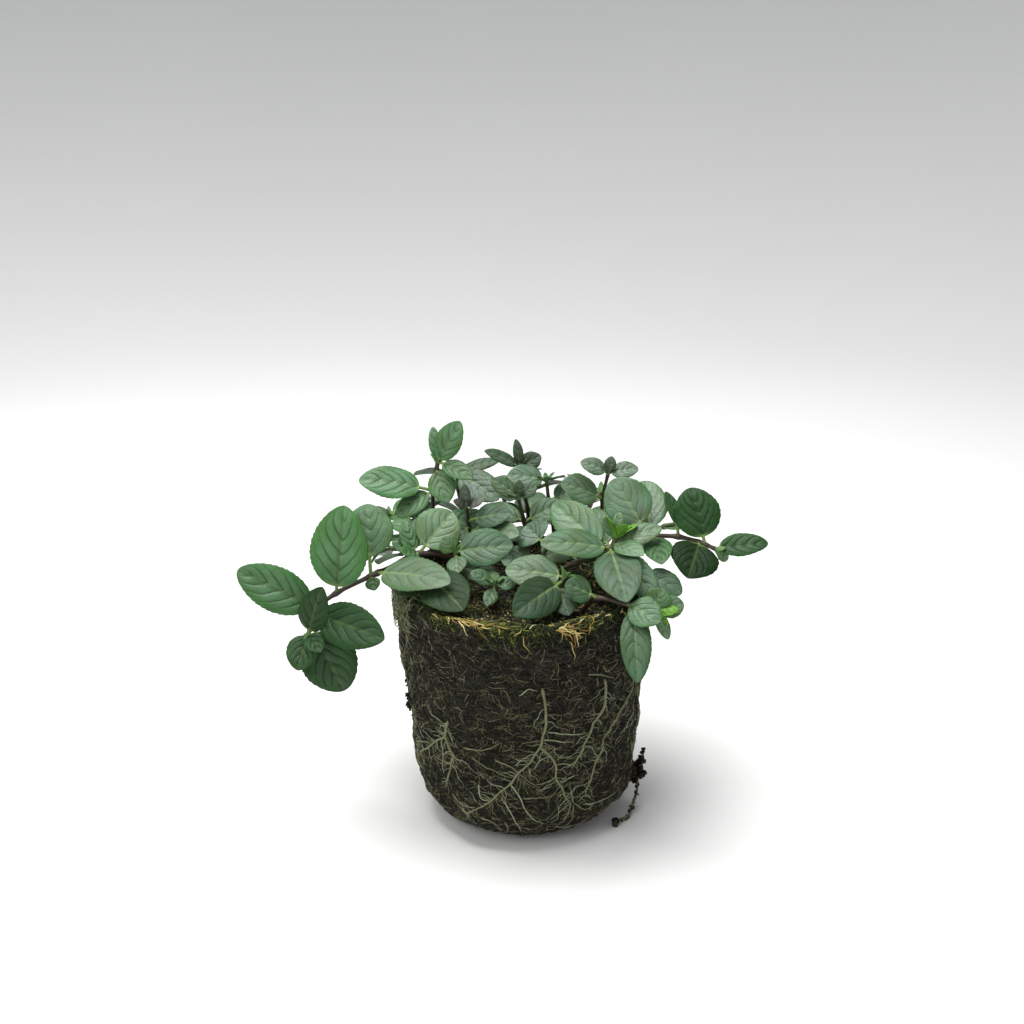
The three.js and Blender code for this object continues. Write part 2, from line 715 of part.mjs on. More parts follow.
// A leaf's body: rows of points above and below, three on a large leaf and two on a small one. Both
// faces have the same triangles.
function leafBody(shape) {
  const rows = leafRows(shape);
  const sides = shape.length > foldedLeaf ? [-1, 0, 1] : [-1, 1];
  const wide = sides.length;
  const points = [];
  rows.forEach(([along, half, thickness]) => {
    [0.5, -0.5].forEach((level) => sides.forEach((side) => {
      const height = leafHeight(shape, Math.max(along, 0), side * half);
      points.push(place(shape, [along, side * half, height + level * thickness]));
    }));
  });
  const triangles = [];
  const quad = (a, b, c, d, turned) => {
    triangles.push(turned ? [a, c, b] : [a, b, c], turned ? [a, d, c] : [a, c, d]);
  };
  const id = (row, column) => row * 2 * wide + column;
  for (let row = 0; row < rows.length - 1; row++) {
    for (let column = 0; column < wide - 1; column++) {
      const corners = [id(row, column), id(row + 1, column), id(row + 1, column + 1),
        id(row, column + 1)];
      quad(...corners, false);
      quad(...corners.map((corner) => corner + wide), true);
    }
    [0, wide - 1].forEach((column) => {
      const [near, far] = [id(row, column), id(row + 1, column)];
      quad(near, near + wide, far + wide, far, column > 0);
    });
  }
  [0, rows.length - 1].forEach((row) => {
    for (let column = 0; column < wide - 1; column++) {
      const [a, b] = [id(row, column), id(row, column + 1)];
      quad(a, b, b + wide, a + wide, row > 0);
    }
  });
  return solid(points, triangles);
}

function stemCentres(shoot) {
  const points = stemPoints(shoot);
  const steps = Math.max(4, points.length - 1);
  const centres = [[...shoot.foot, ballHeight - stemHoleDepth]];
  for (let i = 0; i <= steps; i++) centres.push(curvePoint(points, i * (points.length - 1) / steps));
  return centres;
}

function shootBody(shoot, leaves) {
  const stem = tube(stemCentres(shoot), (t) => stemRadius(shoot, t), 4);
  return leaves.reduce((body, shape) => body.add(leafBody(shape)), stem);
}

function holeBody(shoot) {
  const [x, y] = shoot.foot;
  const centres = [ballHeight - stemHoleDepth - fitGap, ballHeight + 4].map((z) => [x, y, z]);
  return tube(centres, () => shoot.thick[0] + fitGap + stemHoleSlack, 6);
}

// The ball: rings from the foot's edge up the wall, over the rim and down to the soil
function ballBody(allShoots) {
  const around = 32;
  const rings = [];
  const ring = (pointAt) => {
    rings.push(Array.from({ length: around }, (_, i) => pointAt(2 * Math.PI * i / around)));
  };
  const turned = (angle, radius, z) => [radius * Math.cos(angle), radius * Math.sin(angle), z];
  const wallHeights = [0, 2, 6, 12, 20, 34, 50, 68, 86];
  wallHeights.forEach((z) => ring((angle) => turned(angle, ballRadius(angle, z), z)));
  const rimHeight = (angle) => ballHeight + 0.5 * Math.sin(4 * angle + 1) + 0.35 * Math.sin(9 * angle);
  ring((angle) => turned(angle, ballRadius(angle, 96) - 1, rimHeight(angle) - 1.2));
  ring((angle) => turned(angle, ballRadius(angle, 98) - 3.2, rimHeight(angle)));
  [rimRadius - rimWidth - 1.5, 32, 17].forEach((radius) => ring((angle) => {
    const [x, y] = turned(angle, radius, 0);
    return [x, y, soilHeight(x, y)];
  }));
  const ball = skin(rings, [0, 0, 0], [0, 0, soilHeight(0, 0)]);
  return allShoots.reduce((body, shoot) => body.subtract(holeBody(shoot)), ball);
}

// A point on the ball's wall, lifted off it
function onWall([degrees, height], lift) {
  const azimuth = radians(degrees);
  const radius = ballRadius(azimuth, height) + lift;
  return [radius * Math.cos(azimuth), radius * Math.sin(azimuth), height];
}

// A root network: main roots, with side roots that leave them in turn to the left and right
function rootBody(network, order) {
  const lift = rootRadius + fitGap + 0.1;
  let body = null;
  network.routes.forEach((route, number) => {
    const last = route.length - 1;
    const flat = (t) => curvePoint(route.map(([azimuth, height]) => [azimuth, height, 0]), t);
    const main = Array.from({ length: last + 1 }, (_, i) => onWall(flat(i), lift));
    const root = tube(main, (t) => rootRadius * (1.05 - rootTaper * t), 4);
    body = body ? body.add(root) : root;
    const branches = network.branches[number];
    for (let i = 0; i < branches; i++) {
      const seed = order * 40 + number * 20 + i;
      const t = last * (branchSpan[0] + branchSpan[1] * i / branches);
      const [azimuth, height] = flat(t);
      const [nextAzimuth, nextHeight] = flat(t + 0.1);
      const scale = radians(wallRadius(height));
      const heading = Math.atan2(nextHeight - height, (nextAzimuth - azimuth) * scale);
      const turn = branchAngle[0] + branchAngle[1] * chance(seed + 0.2);
      const angle = heading + (i % 2 ? turn : -turn);
      const length = branchLength[0] + branchLength[1] * chance(seed + 0.6);
      const tipHeight = Math.max(branchFloor, height + length * Math.sin(angle));
      const tip = [azimuth + length * Math.cos(angle) / scale, tipHeight];
      const step = Math.floor(t);
      const start = add(main[step], times(minus(main[step + 1], main[step]), t - step));
      body = body.add(tube([start, onWall(tip, lift - 0.15)], () => branchRadius, 3));
    }
  });
  return body;
}

function growRoot([name, azimuth, top, bottom, drift], order) {
  const route = Array.from({ length: grownRootPoints }, (_, i) => {
    const share = i / (grownRootPoints - 1);
    const wander = grownRootSway * (chance(order * 9 + i) - 0.5);
    return [azimuth + drift * share + wander, top + (bottom - top) * share];
  });
  return { name, routes: [route], branches: [4] };
}

function strandBody() {
  const centre = onWall(lumpPlace, lumpSize[0] - lumpFlats + fitGap);
  let body = lump(centre, lumpSize);
  strandArms.forEach((arm) => {
    const steps = (arm.length - 1) * 2;
    const centres = Array.from({ length: steps + 1 }, (_, i) => add(centre, curvePoint(arm, i / 2)));
    body = body.add(tube(centres, () => strandRadius, 4));
  });
  return body.add(lump(add(centre, knobPlace), knobSize));
}

function mesh(name, manifold, colour, roughness) {
  const material = new THREE.MeshStandardMaterial({ color: colour, roughness, metalness: 0 });
  const piece = new THREE.Mesh(geometryOf(manifold), material);
  piece.name = name;
  return piece;
}

const allShoots = [...shoots, ...grownShoots.map(growShoot)];
const leaves = settle(allShoots);
const stems = allShoots.flatMap((shoot, home) => {
  const points = stemPoints(shoot);
  const count = (points.length - 1) * 3;
  return Array.from({ length: count + 1 }, (_, i) => ({ home, point: curvePoint(points, i / 3) }));
});
clearEachOther(leaves, stems);

const plant = new THREE.Group();
plant.add(mesh('root_ball', ballBody(allShoots), colours.peat, 0.95));
allShoots.forEach((shoot, home) => {
  const own = leaves.filter((shape) => shape.home === home);
  const colour = shoot.name.endsWith('runner') ? colours.runner : colours.clump;
  plant.add(mesh(shoot.name, shootBody(shoot, own), colour, 0.5));
});
[...rootNetworks, ...grownRoots.map(growRoot)].forEach((network, order) => {
  plant.add(mesh(network.name, rootBody(network, order), colours.root, 0.8));
});
plant.add(mesh('loose_root_strand', strandBody(), colours.root, 0.85));

export default plant;
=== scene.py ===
import math
import bpy
import numpy as np
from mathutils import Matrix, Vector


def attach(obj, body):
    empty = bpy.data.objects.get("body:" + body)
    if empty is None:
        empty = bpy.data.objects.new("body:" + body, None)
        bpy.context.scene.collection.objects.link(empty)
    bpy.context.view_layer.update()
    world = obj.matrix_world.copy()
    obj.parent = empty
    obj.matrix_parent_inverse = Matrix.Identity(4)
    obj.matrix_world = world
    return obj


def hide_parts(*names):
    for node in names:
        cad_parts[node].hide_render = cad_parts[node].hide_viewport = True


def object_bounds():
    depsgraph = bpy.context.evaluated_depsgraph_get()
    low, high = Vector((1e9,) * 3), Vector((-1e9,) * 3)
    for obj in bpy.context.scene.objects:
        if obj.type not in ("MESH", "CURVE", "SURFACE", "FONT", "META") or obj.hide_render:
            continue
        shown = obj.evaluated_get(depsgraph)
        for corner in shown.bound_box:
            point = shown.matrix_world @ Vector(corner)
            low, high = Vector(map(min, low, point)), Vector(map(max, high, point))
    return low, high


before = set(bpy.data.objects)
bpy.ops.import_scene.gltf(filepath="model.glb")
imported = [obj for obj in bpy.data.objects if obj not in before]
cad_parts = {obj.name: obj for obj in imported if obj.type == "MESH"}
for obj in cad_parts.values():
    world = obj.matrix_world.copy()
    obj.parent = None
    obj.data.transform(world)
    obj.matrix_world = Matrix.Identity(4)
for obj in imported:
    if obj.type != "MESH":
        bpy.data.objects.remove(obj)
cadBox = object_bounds()
print("frame loaded:", len(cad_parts), "nodes")

# A young mint plant with the pot-shaped ball of peat and roots it came out of its pot with.
# Shapes are worked out in millimetres, in the frame's own axes, and scaled to metres in makePiece.
millimetre = 0.001


def chance(seed):
    # a repeatable random number from 0 to 1: the fraction of a large multiple of a sine
    wide = np.sin(np.asarray(seed, float) * 12.9898) * 43758.5453
    return wide - np.floor(wide)


def unit(vectors):
    # each divided by its length
    vectors = np.asarray(vectors, float)
    return vectors / np.linalg.norm(vectors, axis=-1, keepdims=True)


def along(points, t):
    # smooth curve through the points, t counted in points: cubic pieces whose slope at a point is
    # half the step between its neighbours; the ends are mirrored
    points = np.asarray(points, float)
    t = np.clip(np.asarray(t, float), 0, len(points) - 1)
    k = np.minimum(np.floor(t).astype(int), len(points) - 2)
    w = (t - k)[..., None]
    padded = np.vstack([2 * points[0] - points[1], points, 2 * points[-1] - points[-2]])
    a, b, c, d = padded[k], padded[k + 1], padded[k + 2], padded[k + 3]
    return 0.5 * (2 * b + (c - a) * w + (2 * a - 5 * b + 4 * c - d) * w ** 2
                  + (3 * b - a - 3 * c + d) * w ** 3)


def softNoise(points, grain, seed):
    # -1 to 1: random values at the corners of cubes of side grain, blended by smooth steps
    place = np.asarray(points, float) / grain + 1000.5
    cell = np.floor(place).astype(np.int64)
    share = place - cell
    share = share * share * (3 - 2 * share)
    table = np.random.default_rng(seed).uniform(-1, 1, 65536)
    total = np.zeros(place.shape[:-1])
    for corner in np.ndindex(2, 2, 2):
        key = ((cell[..., 0] + corner[0]) * 73856093 ^ (cell[..., 1] + corner[1]) * 19349663
               ^ (cell[..., 2] + corner[2]) * 83492791)
        weight = np.prod(np.where(np.array(corner) == 1, share, 1 - share), axis=-1)
        total += table[key & 65535] * weight
    return total


# meshes: a closed form is a set of rings with a point at each end, or with a triangle if three-sided

made = []  # each piece's triangles


def closedTubes(rings, material=0, **facts):
    # rings: copies x rows x sides x 3. Facts are numbers per ring point, kept as mesh attributes
    copies, rows, sides, _ = rings.shape
    pointed = sides > 3
    points = rings.reshape(copies, -1, 3)
    if pointed:
        points = np.concatenate([points, np.stack([rings[:, 0].mean(1), rings[:, -1].mean(1)], 1)], 1)
    side = np.arange(sides)
    after = (side + 1) % sides
    row = np.arange(rows - 1)[:, None] * sides
    quads = np.stack([row + side, row + sides + side, row + sides + after, row + after], -1).reshape(-1, 4)
    last = (rows - 1) * sides
    fans = np.array([side, last + side[::-1]])
    if pointed:
        fans = np.concatenate([np.stack([np.full(sides, rows * sides), side, after], -1),
                               np.stack([np.full(sides, rows * sides + 1), last + after, last + side], -1)])
    step = (np.arange(copies) * points.shape[1])[:, None, None]

    def spread(value):
        full = np.broadcast_to(np.asarray(value, float), (copies, rows, sides))
        atEnds = [full[:, :1].mean(2), full[:, -1:].mean(2)] if pointed else []
        return np.concatenate([full.reshape(copies, -1), *atEnds], 1).ravel()

    return dict(points=points.reshape(-1, 3), quads=(quads + step).reshape(-1, 4),
                fans=(fans + step).reshape(-1, 3), material=material,
                facts={key: spread(value) for key, value in facts.items()})


def ringsAlong(centres, radius, guide, sides, square=0.0, flat=1.0):
    # rings about centre lines, copies x rows x 3: a circle, squarer or flatter if asked, whose first
    # direction is the guide made square to the line
    ahead = unit(np.gradient(centres, axis=1))
    guide = np.broadcast_to(guide, centres.shape)
    across = unit(guide - ahead * (guide * ahead).sum(-1, keepdims=True))
    other = np.cross(ahead, across)
    angle = 2 * np.pi * np.arange(sides) / sides
    reach = np.broadcast_to(radius, centres.shape[:2])[..., None] * (1 + square * np.cos(4 * angle))
    return (centres[:, :, None] + (reach * np.cos(angle) * flat)[..., None] * across[:, :, None]
            - (reach * np.sin(angle))[..., None] * other[:, :, None])


def makePiece(name, parts, materials, standsFor=()):
    # one mesh of all the parts, in metres, with their facts as attributes. It is kept inside the CAD's
    # box, so that nothing stands in the ground
    starts = np.cumsum([0] + [len(part["points"]) for part in parts])[:-1]
    points = np.clip(np.concatenate([part["points"] for part in parts]) * millimetre, *cadBox)
    quads = np.concatenate([part["quads"] + start for part, start in zip(parts, starts)])
    fans = np.concatenate([part["fans"] + start for part, start in zip(parts, starts)])
    corners = np.concatenate([quads.ravel(), fans.ravel()])
    first = np.concatenate([np.arange(len(quads)) * 4, len(quads) * 4 + np.arange(len(fans)) * 3])
    finish = np.concatenate([np.full(len(part["quads"]), part["material"]) for part in parts]
                            + [np.full(len(part["fans"]), part["material"]) for part in parts])
    mesh = bpy.data.meshes.new(name)
    mesh.vertices.add(len(points))
    mesh.vertices.foreach_set("co", points.astype(np.float32).ravel())
    mesh.loops.add(len(corners))
    mesh.loops.foreach_set("vertex_index", corners.astype(np.int32))
    mesh.polygons.add(len(first))
    mesh.polygons.foreach_set("loop_start", first.astype(np.int32))
    for material in materials:
        mesh.materials.append(material)
    mesh.polygons.foreach_set("material_index", finish.astype(np.int32))
    for key in sorted({key for part in parts for key in part["facts"]}):
        values = np.concatenate([part["facts"].get(key, np.zeros(len(part["points"]))) for part in parts])
        mesh.attributes.new(key, "FLOAT", "POINT").data.foreach_set("value", values.astype(np.float32))
    mesh.update(calc_edges=True)
    mesh.shade_smooth()
    piece = bpy.data.objects.new(name, mesh)
    bpy.context.scene.collection.objects.link(piece)
    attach(piece, "root")
    if standsFor:
        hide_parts(*standsFor)
    triangles = 2 * len(quads) + len(fans)
    made.append(triangles)
    print(name, triangles, "triangles")


# the ball's wall, rim and soil

# the root ball: a cone that narrows downwards, rounded into a flat foot, and fuller at the front right
ball = dict(height=98, rimRadius=51, footConeRadius=41.4, footEdge=20, soilDepth=3.5, rimWidth=6,
            sag=1.9, sagHeight=12, sagSpread=13, rimRise=1.8, rimCurve=5.5, rimInset=3, rimWay=11.5,
            around=272, spacing=0.75)

wallSlope = math.atan2(ball["rimRadius"] - ball["footConeRadius"], ball["height"])
edgeTop = ball["footEdge"] * (1 - math.sin(wallSlope))
edgeArc = ball["footEdge"] * (math.pi / 2 - wallSlope)
wallArc = edgeArc + (ball["height"] - edgeTop) / math.cos(wallSlope)


def wallRadius(height):
    # a cone, and below edgeTop a quarter round down to the foot
    growth = (ball["rimRadius"] - ball["footConeRadius"]) / ball["height"]
    centre = ball["footConeRadius"] + growth * ball["footEdge"] - ball["footEdge"] / math.cos(wallSlope)
    edge = centre + np.sqrt(np.maximum(ball["footEdge"] ** 2 - (ball["footEdge"] - height) ** 2, 0))
    return np.where(height >= edgeTop, ball["footConeRadius"] + growth * height, edge)


def ballRadius(azimuth, height):
    # the wall with low wide lumps, three, five and eight round, and its sag to the front right. Both
    # fade out to the foot
    fade = np.minimum(1, height / 14)
    lumps = (0.7 * np.sin(3 * azimuth + 0.06 * height + 1) + 0.5 * np.sin(5 * azimuth - 0.11 * height)
             + 0.35 * np.sin(8 * azimuth + 0.19 * height + 2))
    away = (height - ball["sagHeight"]) / ball["sagSpread"]
    sag = ball["sag"] * np.exp(-away ** 2) * np.cos(azimuth + 1.07)
    return wallRadius(height) + fade * (lumps + sag)


def soilHeight(x, y):
    # a level with low waves
    waves = 0.5 * np.sin(0.16 * x + 1) * np.sin(0.19 * y) + 0.25 * np.sin(0.35 * x - 0.2 * y)
    return ball["height"] - ball["soilDepth"] + waves


def rimHeight(azimuth):
    # four wide waves and nine small ones
    return ball["height"] + 0.5 * np.sin(4 * azimuth + 1) + 0.35 * np.sin(9 * azimuth)


def arcOf(height):
    # way up the wall from the flat foot, in mm
    height = np.asarray(height, float)
    turn = np.arccos(np.clip(1 - height / ball["footEdge"], -1, 1))
    onWall = edgeArc + (height - edgeTop) / math.cos(wallSlope)
    return np.where(height < edgeTop, ball["footEdge"] * turn, onWall)


rimStart = wallArc - 6
soilStart = rimStart + ball["rimWay"]
soilRadius = ball["rimRadius"] - ball["rimWidth"] - 1.5


def wallPlace(azimuth, arc):
    # point and outward direction on the smooth ball. azimuth in radians; arc in mm, below 0 on the
    # foot, then up the wall, over the rim on a cubic curve, and inwards over the soil
    azimuth, arc = np.broadcast_arrays(np.asarray(azimuth, float), np.asarray(arc, float))
    turn = np.clip(arc, 0, edgeArc) / ball["footEdge"]
    height = ball["footEdge"] * (1 - np.cos(turn))
    height = height + np.clip(arc - edgeArc, 0, rimStart - edgeArc) * math.cos(wallSlope)
    radius = np.maximum(ballRadius(azimuth, height) + np.minimum(arc, 0), 0.5)
    outward, upward = np.sin(turn), -np.cos(turn)
    q = np.clip((arc - rimStart) / ball["rimWay"], 0, 1)
    rise = ball["rimCurve"]
    corners = [(radius, height), (radius + rise * math.sin(wallSlope), height + rise * math.cos(wallSlope)),
               (ballRadius(azimuth, ball["height"]) - ball["rimInset"], rimHeight(azimuth) + ball["rimRise"]),
               (soilRadius, soilHeight(soilRadius * np.cos(azimuth), soilRadius * np.sin(azimuth)))]
    weights = ((1 - q) ** 3, 3 * q * (1 - q) ** 2, 3 * q ** 2 * (1 - q), q ** 3)
    slopes = (-(1 - q) ** 2, (1 - q) * (1 - 3 * q), q * (2 - 3 * q), q ** 2)
    over = q > 0
    across = sum(w * c[0] for w, c in zip(slopes, corners))
    climb = sum(w * c[1] for w, c in zip(slopes, corners))
    size = np.hypot(across, climb)
    outward, upward = np.where(over, climb / size, outward), np.where(over, -across / size, upward)
    radius = np.where(over, sum(w * c[0] for w, c in zip(weights, corners)), radius)
    height = np.where(over, sum(w * c[1] for w, c in zip(weights, corners)), height)
    soil = arc > soilStart
    radius = np.where(soil, np.maximum(soilRadius - (arc - soilStart), 0.5), radius)
    outward, upward = np.where(soil, 0, outward), np.where(soil, 1, upward)
    x, y = radius * np.cos(azimuth), radius * np.sin(azimuth)
    height = np.where(soil, soilHeight(x, y), height)
    out = np.stack([outward * np.cos(azimuth), outward * np.sin(azimuth), upward], -1)
    return np.stack([x, y, height], -1), out


def peatRelief(points):
    # how far the matted peat stands off the smooth wall, in mm: lumps of three sizes
    return (0.7 * softNoise(points, 7, 11) + 0.5 * softNoise(points, 2.6, 12)
            + 0.3 * softNoise(points, 1.3, 13))


def onPeat(azimuth, arc, lift):
    # places on the matted peat, lifted off it; the flat foot stays flat
    point, out = wallPlace(azimuth, arc)
    relief = peatRelief(point) * np.clip(point[..., 2] / 4, 0, 1)
    return point + out * (relief + lift)[..., None], out


def wallRoute(route, steps):
    # a smooth route from azimuths in degrees and heights, as azimuths in radians and arcs, with its t
    t = np.linspace(0, len(route) - 1, steps * (len(route) - 1) + 1)
    return along([(math.radians(azimuth), arcOf(height)) for azimuth, height in route], t), t


def peatBall():
    # rings from the foot's middle up the wall, over the rim and in to the soil's middle
    ways = np.concatenate([np.arange(*span) for span in (
        (-24, 0, 2.4), (0, edgeArc, 0.8), (edgeArc, rimStart, ball["spacing"]), (rimStart, soilStart, 0.45),
        (soilStart, soilStart + soilRadius - 2, 1.0))])
    azimuth = -2 * np.pi * np.arange(ball["around"]) / ball["around"]
    places, _ = onPeat(azimuth[None], ways[:, None], 0.0)
    return closedTubes(places[None], top=np.clip((ways - rimStart) / 6, 0, 1)[None, :, None])


# leaves

# leaves: the same numbers as the frame's blades, which these finer ones stand for
leafForm = dict(bow=0.06, fold=0.22, edgeRoll=0.16, wave=0.4, stalkHalf=0.62, stalkDepth=0.55,
                thick=0.34, margin=0.965, tooth=0.045, toothSpacing=2.3, groove=0.3)


def leafHeight(shape, a, x):
    # height over the leaf's own plane, a along it and x across it: the midrib's bow, halves that
    # rise and roll back down, and an edge wave
    t = a / shape["length"]
    half = shape["wide"] / 2
    share = np.abs(x) / half
    u = (a - shape["stalk"]) / (shape["length"] - shape["stalk"])
    return (leafForm["bow"] * shape["length"] * 4 * t * (1 - t)
            + half * (leafForm["fold"] * share - leafForm["edgeRoll"] * share ** 2)
            + leafForm["wave"] * shape["wide"] / 14 * share ** 2
            * np.sin(9 * u + shape["phase"] + np.where(x < 0, 1.9, 0)))


def bladeHalf(wide, u):
    # half the blade's width: a sine arch, fuller towards its foot, with a pointed tip
    u = np.clip(u, 0, 1)
    return wide / 2 * np.sin(np.pi * u ** 0.88) ** (0.5 + 0.06 * u)


def stemPoints(shoot):
    # the foot in the soil, then the route
    return [(*shoot["foot"], ball["height"] - ball["soilDepth"] + 1), *shoot["route"]]


def growShoot(row, order):
    # opposite pairs along a leaning stem, each turned a quarter from the last
    name, foot, azimuth, reach, height, longest = row
    out = (math.cos(math.radians(azimuth)), math.sin(math.radians(azimuth)))

    def place(t, z):
        return foot[0] + out[0] * reach * t, foot[1] + out[1] * reach * t, z

    route = [place(0.12, 104), place(0.5, (104 + height) / 2 + 2), place(1, height)]
    leaves = []
    for pair, at in enumerate((0, 1, 1.95)):
        length = longest * (1 - 0.17 * pair)
        for side in (0, 180):
            seed = order * 20 + pair * 2 + side // 180 + 1
            turn = math.radians(azimuth + side + 90 * ((pair + 1) % 2) + 24 * (chance(seed) - 0.5))
            x, y, z = route[round(at)]
            rise = length * (0.1 + 0.3 * chance(seed + 0.5))
            tip = (x + length * math.cos(turn), y + length * math.sin(turn), z + rise)
            leaves.append(leaf(at, tip, length * 0.56, 2.5, (0.35 * out[0], 0.35 * out[1], 0.87)))
    return dict(name=name, foot=foot, route=route, thick=(1.7, 1.1), leaves=leaves)


def settleLeaves(allShoots):
    # arrays over all leaves: base on the stem, and axes along, across and up
    rows = [(home, along(stemPoints(shoot), entry["at"] + 1), entry)
            for home, shoot in enumerate(allShoots) for entry in shoot["leaves"]]
    base = np.array([row[1] for row in rows])
    reach = np.array([row[2]["tip"] for row in rows]) - base
    ahead = unit(reach)
    face = np.array([row[2]["face"] for row in rows], float)
    up = unit(face - ahead * (face * ahead).sum(-1, keepdims=True))
    return dict(home=np.array([row[0] for row in rows]), base=base, length=np.linalg.norm(reach, axis=-1),
                wide=np.array([row[2]["wide"] for row in rows], float),
                stalk=np.array([row[2]["stalk"] for row in rows], float),
                phase=6.28 * chance(np.arange(len(rows)) + 0.3),
                axes=np.stack([ahead, np.cross(up, ahead), up], 1))


# how leaves turn clear: rounds, the shares of each pull and push, distances kept in mm, and the most
# that a leaf turns in one round, in radians
turning = dict(rounds=60, pullHome=0.02, pushShare=0.5, sameShoot=0.6, soilClearance=2.2,
               stemClearance=4.2, longestSwing=0.12)


def clearEachOther(leaves, stems, stemHomes):
    # leaves turn about their bases until they clear each other, the stems, the soil and the ball:
    # each round sums the turning pushes on sample points, and a pull back to the drawn direction
    column = {key: leaves[key][:, None] for key in ("length", "wide", "stalk", "phase")}
    u = np.repeat(0.04 + 0.94 * np.arange(7) / 6, 5)[None]
    a = column["stalk"] + (column["length"] - column["stalk"]) * u
    x = 0.48 * np.tile(np.arange(-2, 3), 7) * bladeHalf(column["wide"], u)
    local = np.stack([a, x, leafHeight(column, a, x)], -1)
    length, base, axes, home = leaves["length"], leaves["base"], leaves["axes"], leaves["home"]
    rest = axes.copy()
    spread = np.clip(0.22 * length, 2.2, 4.6)
    middle = base + axes[:, 0] * (length * 0.55)[:, None]
    i, j = np.triu_indices(len(length), 1)
    near = np.linalg.norm(middle[i] - middle[j], axis=-1) < 0.62 * (length[i] + length[j]) + 6
    i, j = i[near], j[near]
    above = np.where(middle[i, 2] >= middle[j, 2], 1.0, -1.0)
    wanted = np.where(home[i] == home[j], turning["sameShoot"], 1) * (spread[i] + spread[j]) / 2
    ownStem = (home[:, None] == stemHomes[None])[:, None] & (np.arange(35) < 15)[None, :, None]
    clear, longest = turning["stemClearance"], turning["longestSwing"]
    for _ in range(turning["rounds"]):
        world = base[:, None] + local @ axes
        arm = world - base[:, None]
        torque = np.zeros_like(base)
        centre = world.mean(1)
        radius = np.linalg.norm(world - centre[:, None], axis=-1).max(1)
        close = np.linalg.norm(centre[i] - centre[j], axis=-1) < radius[i] + radius[j] + wanted
        p, q, want = i[close], j[close], wanted[close][:, None, None]
        away = world[p][:, :, None] - world[q][:, None]
        gap = np.linalg.norm(away, axis=-1)
        lift = np.array([0, 0, 0.8]) * above[close][:, None, None, None]
        push = (away / (gap + 0.5)[..., None] + lift) * (np.maximum(want - gap, 0) / want)[..., None]
        np.add.at(torque, p, np.cross(arm[p], push.sum(2)).sum(1))
        np.add.at(torque, q, -np.cross(arm[q], push.sum(1)).sum(1))
        away = world[:, :, None] - stems
        gap = np.linalg.norm(away, axis=-1)
        force = np.where(ownStem, 0, np.maximum(clear - gap, 0)) * 1.5 / (gap + 0.5) / clear
        load = (away * force[..., None]).sum(2)
        out = np.hypot(world[..., 0], world[..., 1])
        edge = wallRadius(np.minimum(world[..., 2], ball["height"])) + 3
        dish = np.where(out < ball["rimRadius"] - ball["rimWidth"], ball["soilDepth"] * 0.6, 0)
        floor = ball["height"] + turning["soilClearance"] - dish
        inside = (out < edge) & (world[..., 2] < floor)
        sideways = inside & (edge - out < floor - world[..., 2])
        outward = np.where(sideways, 0.6 * (edge - out) / out, 0)[..., None] * world * [1, 1, 0]
        upward = np.where(inside & ~sideways, 0.6 * (floor - world[..., 2]), 0)[..., None] * [0, 0, 1]
        torque += np.cross(arm, load + outward + upward).sum(1)
        homeward = np.cross(axes, rest).sum(1)
        swing = torque * (turning["pushShare"] / (3 * length ** 2))[:, None] + homeward * turning["pullHome"]
        angle = np.linalg.norm(swing, axis=-1, keepdims=True)
        swing *= np.where(angle > longest, longest / np.maximum(angle, 1e-9), 1)
        ahead = unit(axes[:, 0] + np.cross(swing, axes[:, 0]))
        raised = axes[:, 2] + np.cross(swing, axes[:, 2])
        up = unit(raised - ahead * (raised * ahead).sum(-1, keepdims=True))
        axes = np.stack([ahead, np.cross(up, ahead), up], 1)
    leaves["axes"] = axes


def veinPhase(shape, blade, u, v):
    # whole numbers lie on the side veins, which leave the midrib in turn, at half a right angle, and
    # curve towards the tip
    reach = np.abs(v)
    shift = shape["wide"] / 2 * (reach + 0.6 * reach ** 2.5)
    return (blade * u - shift) / (1.5 + 0.15 * blade) - 0.25 + np.where(v < 0, 0.35, 0)


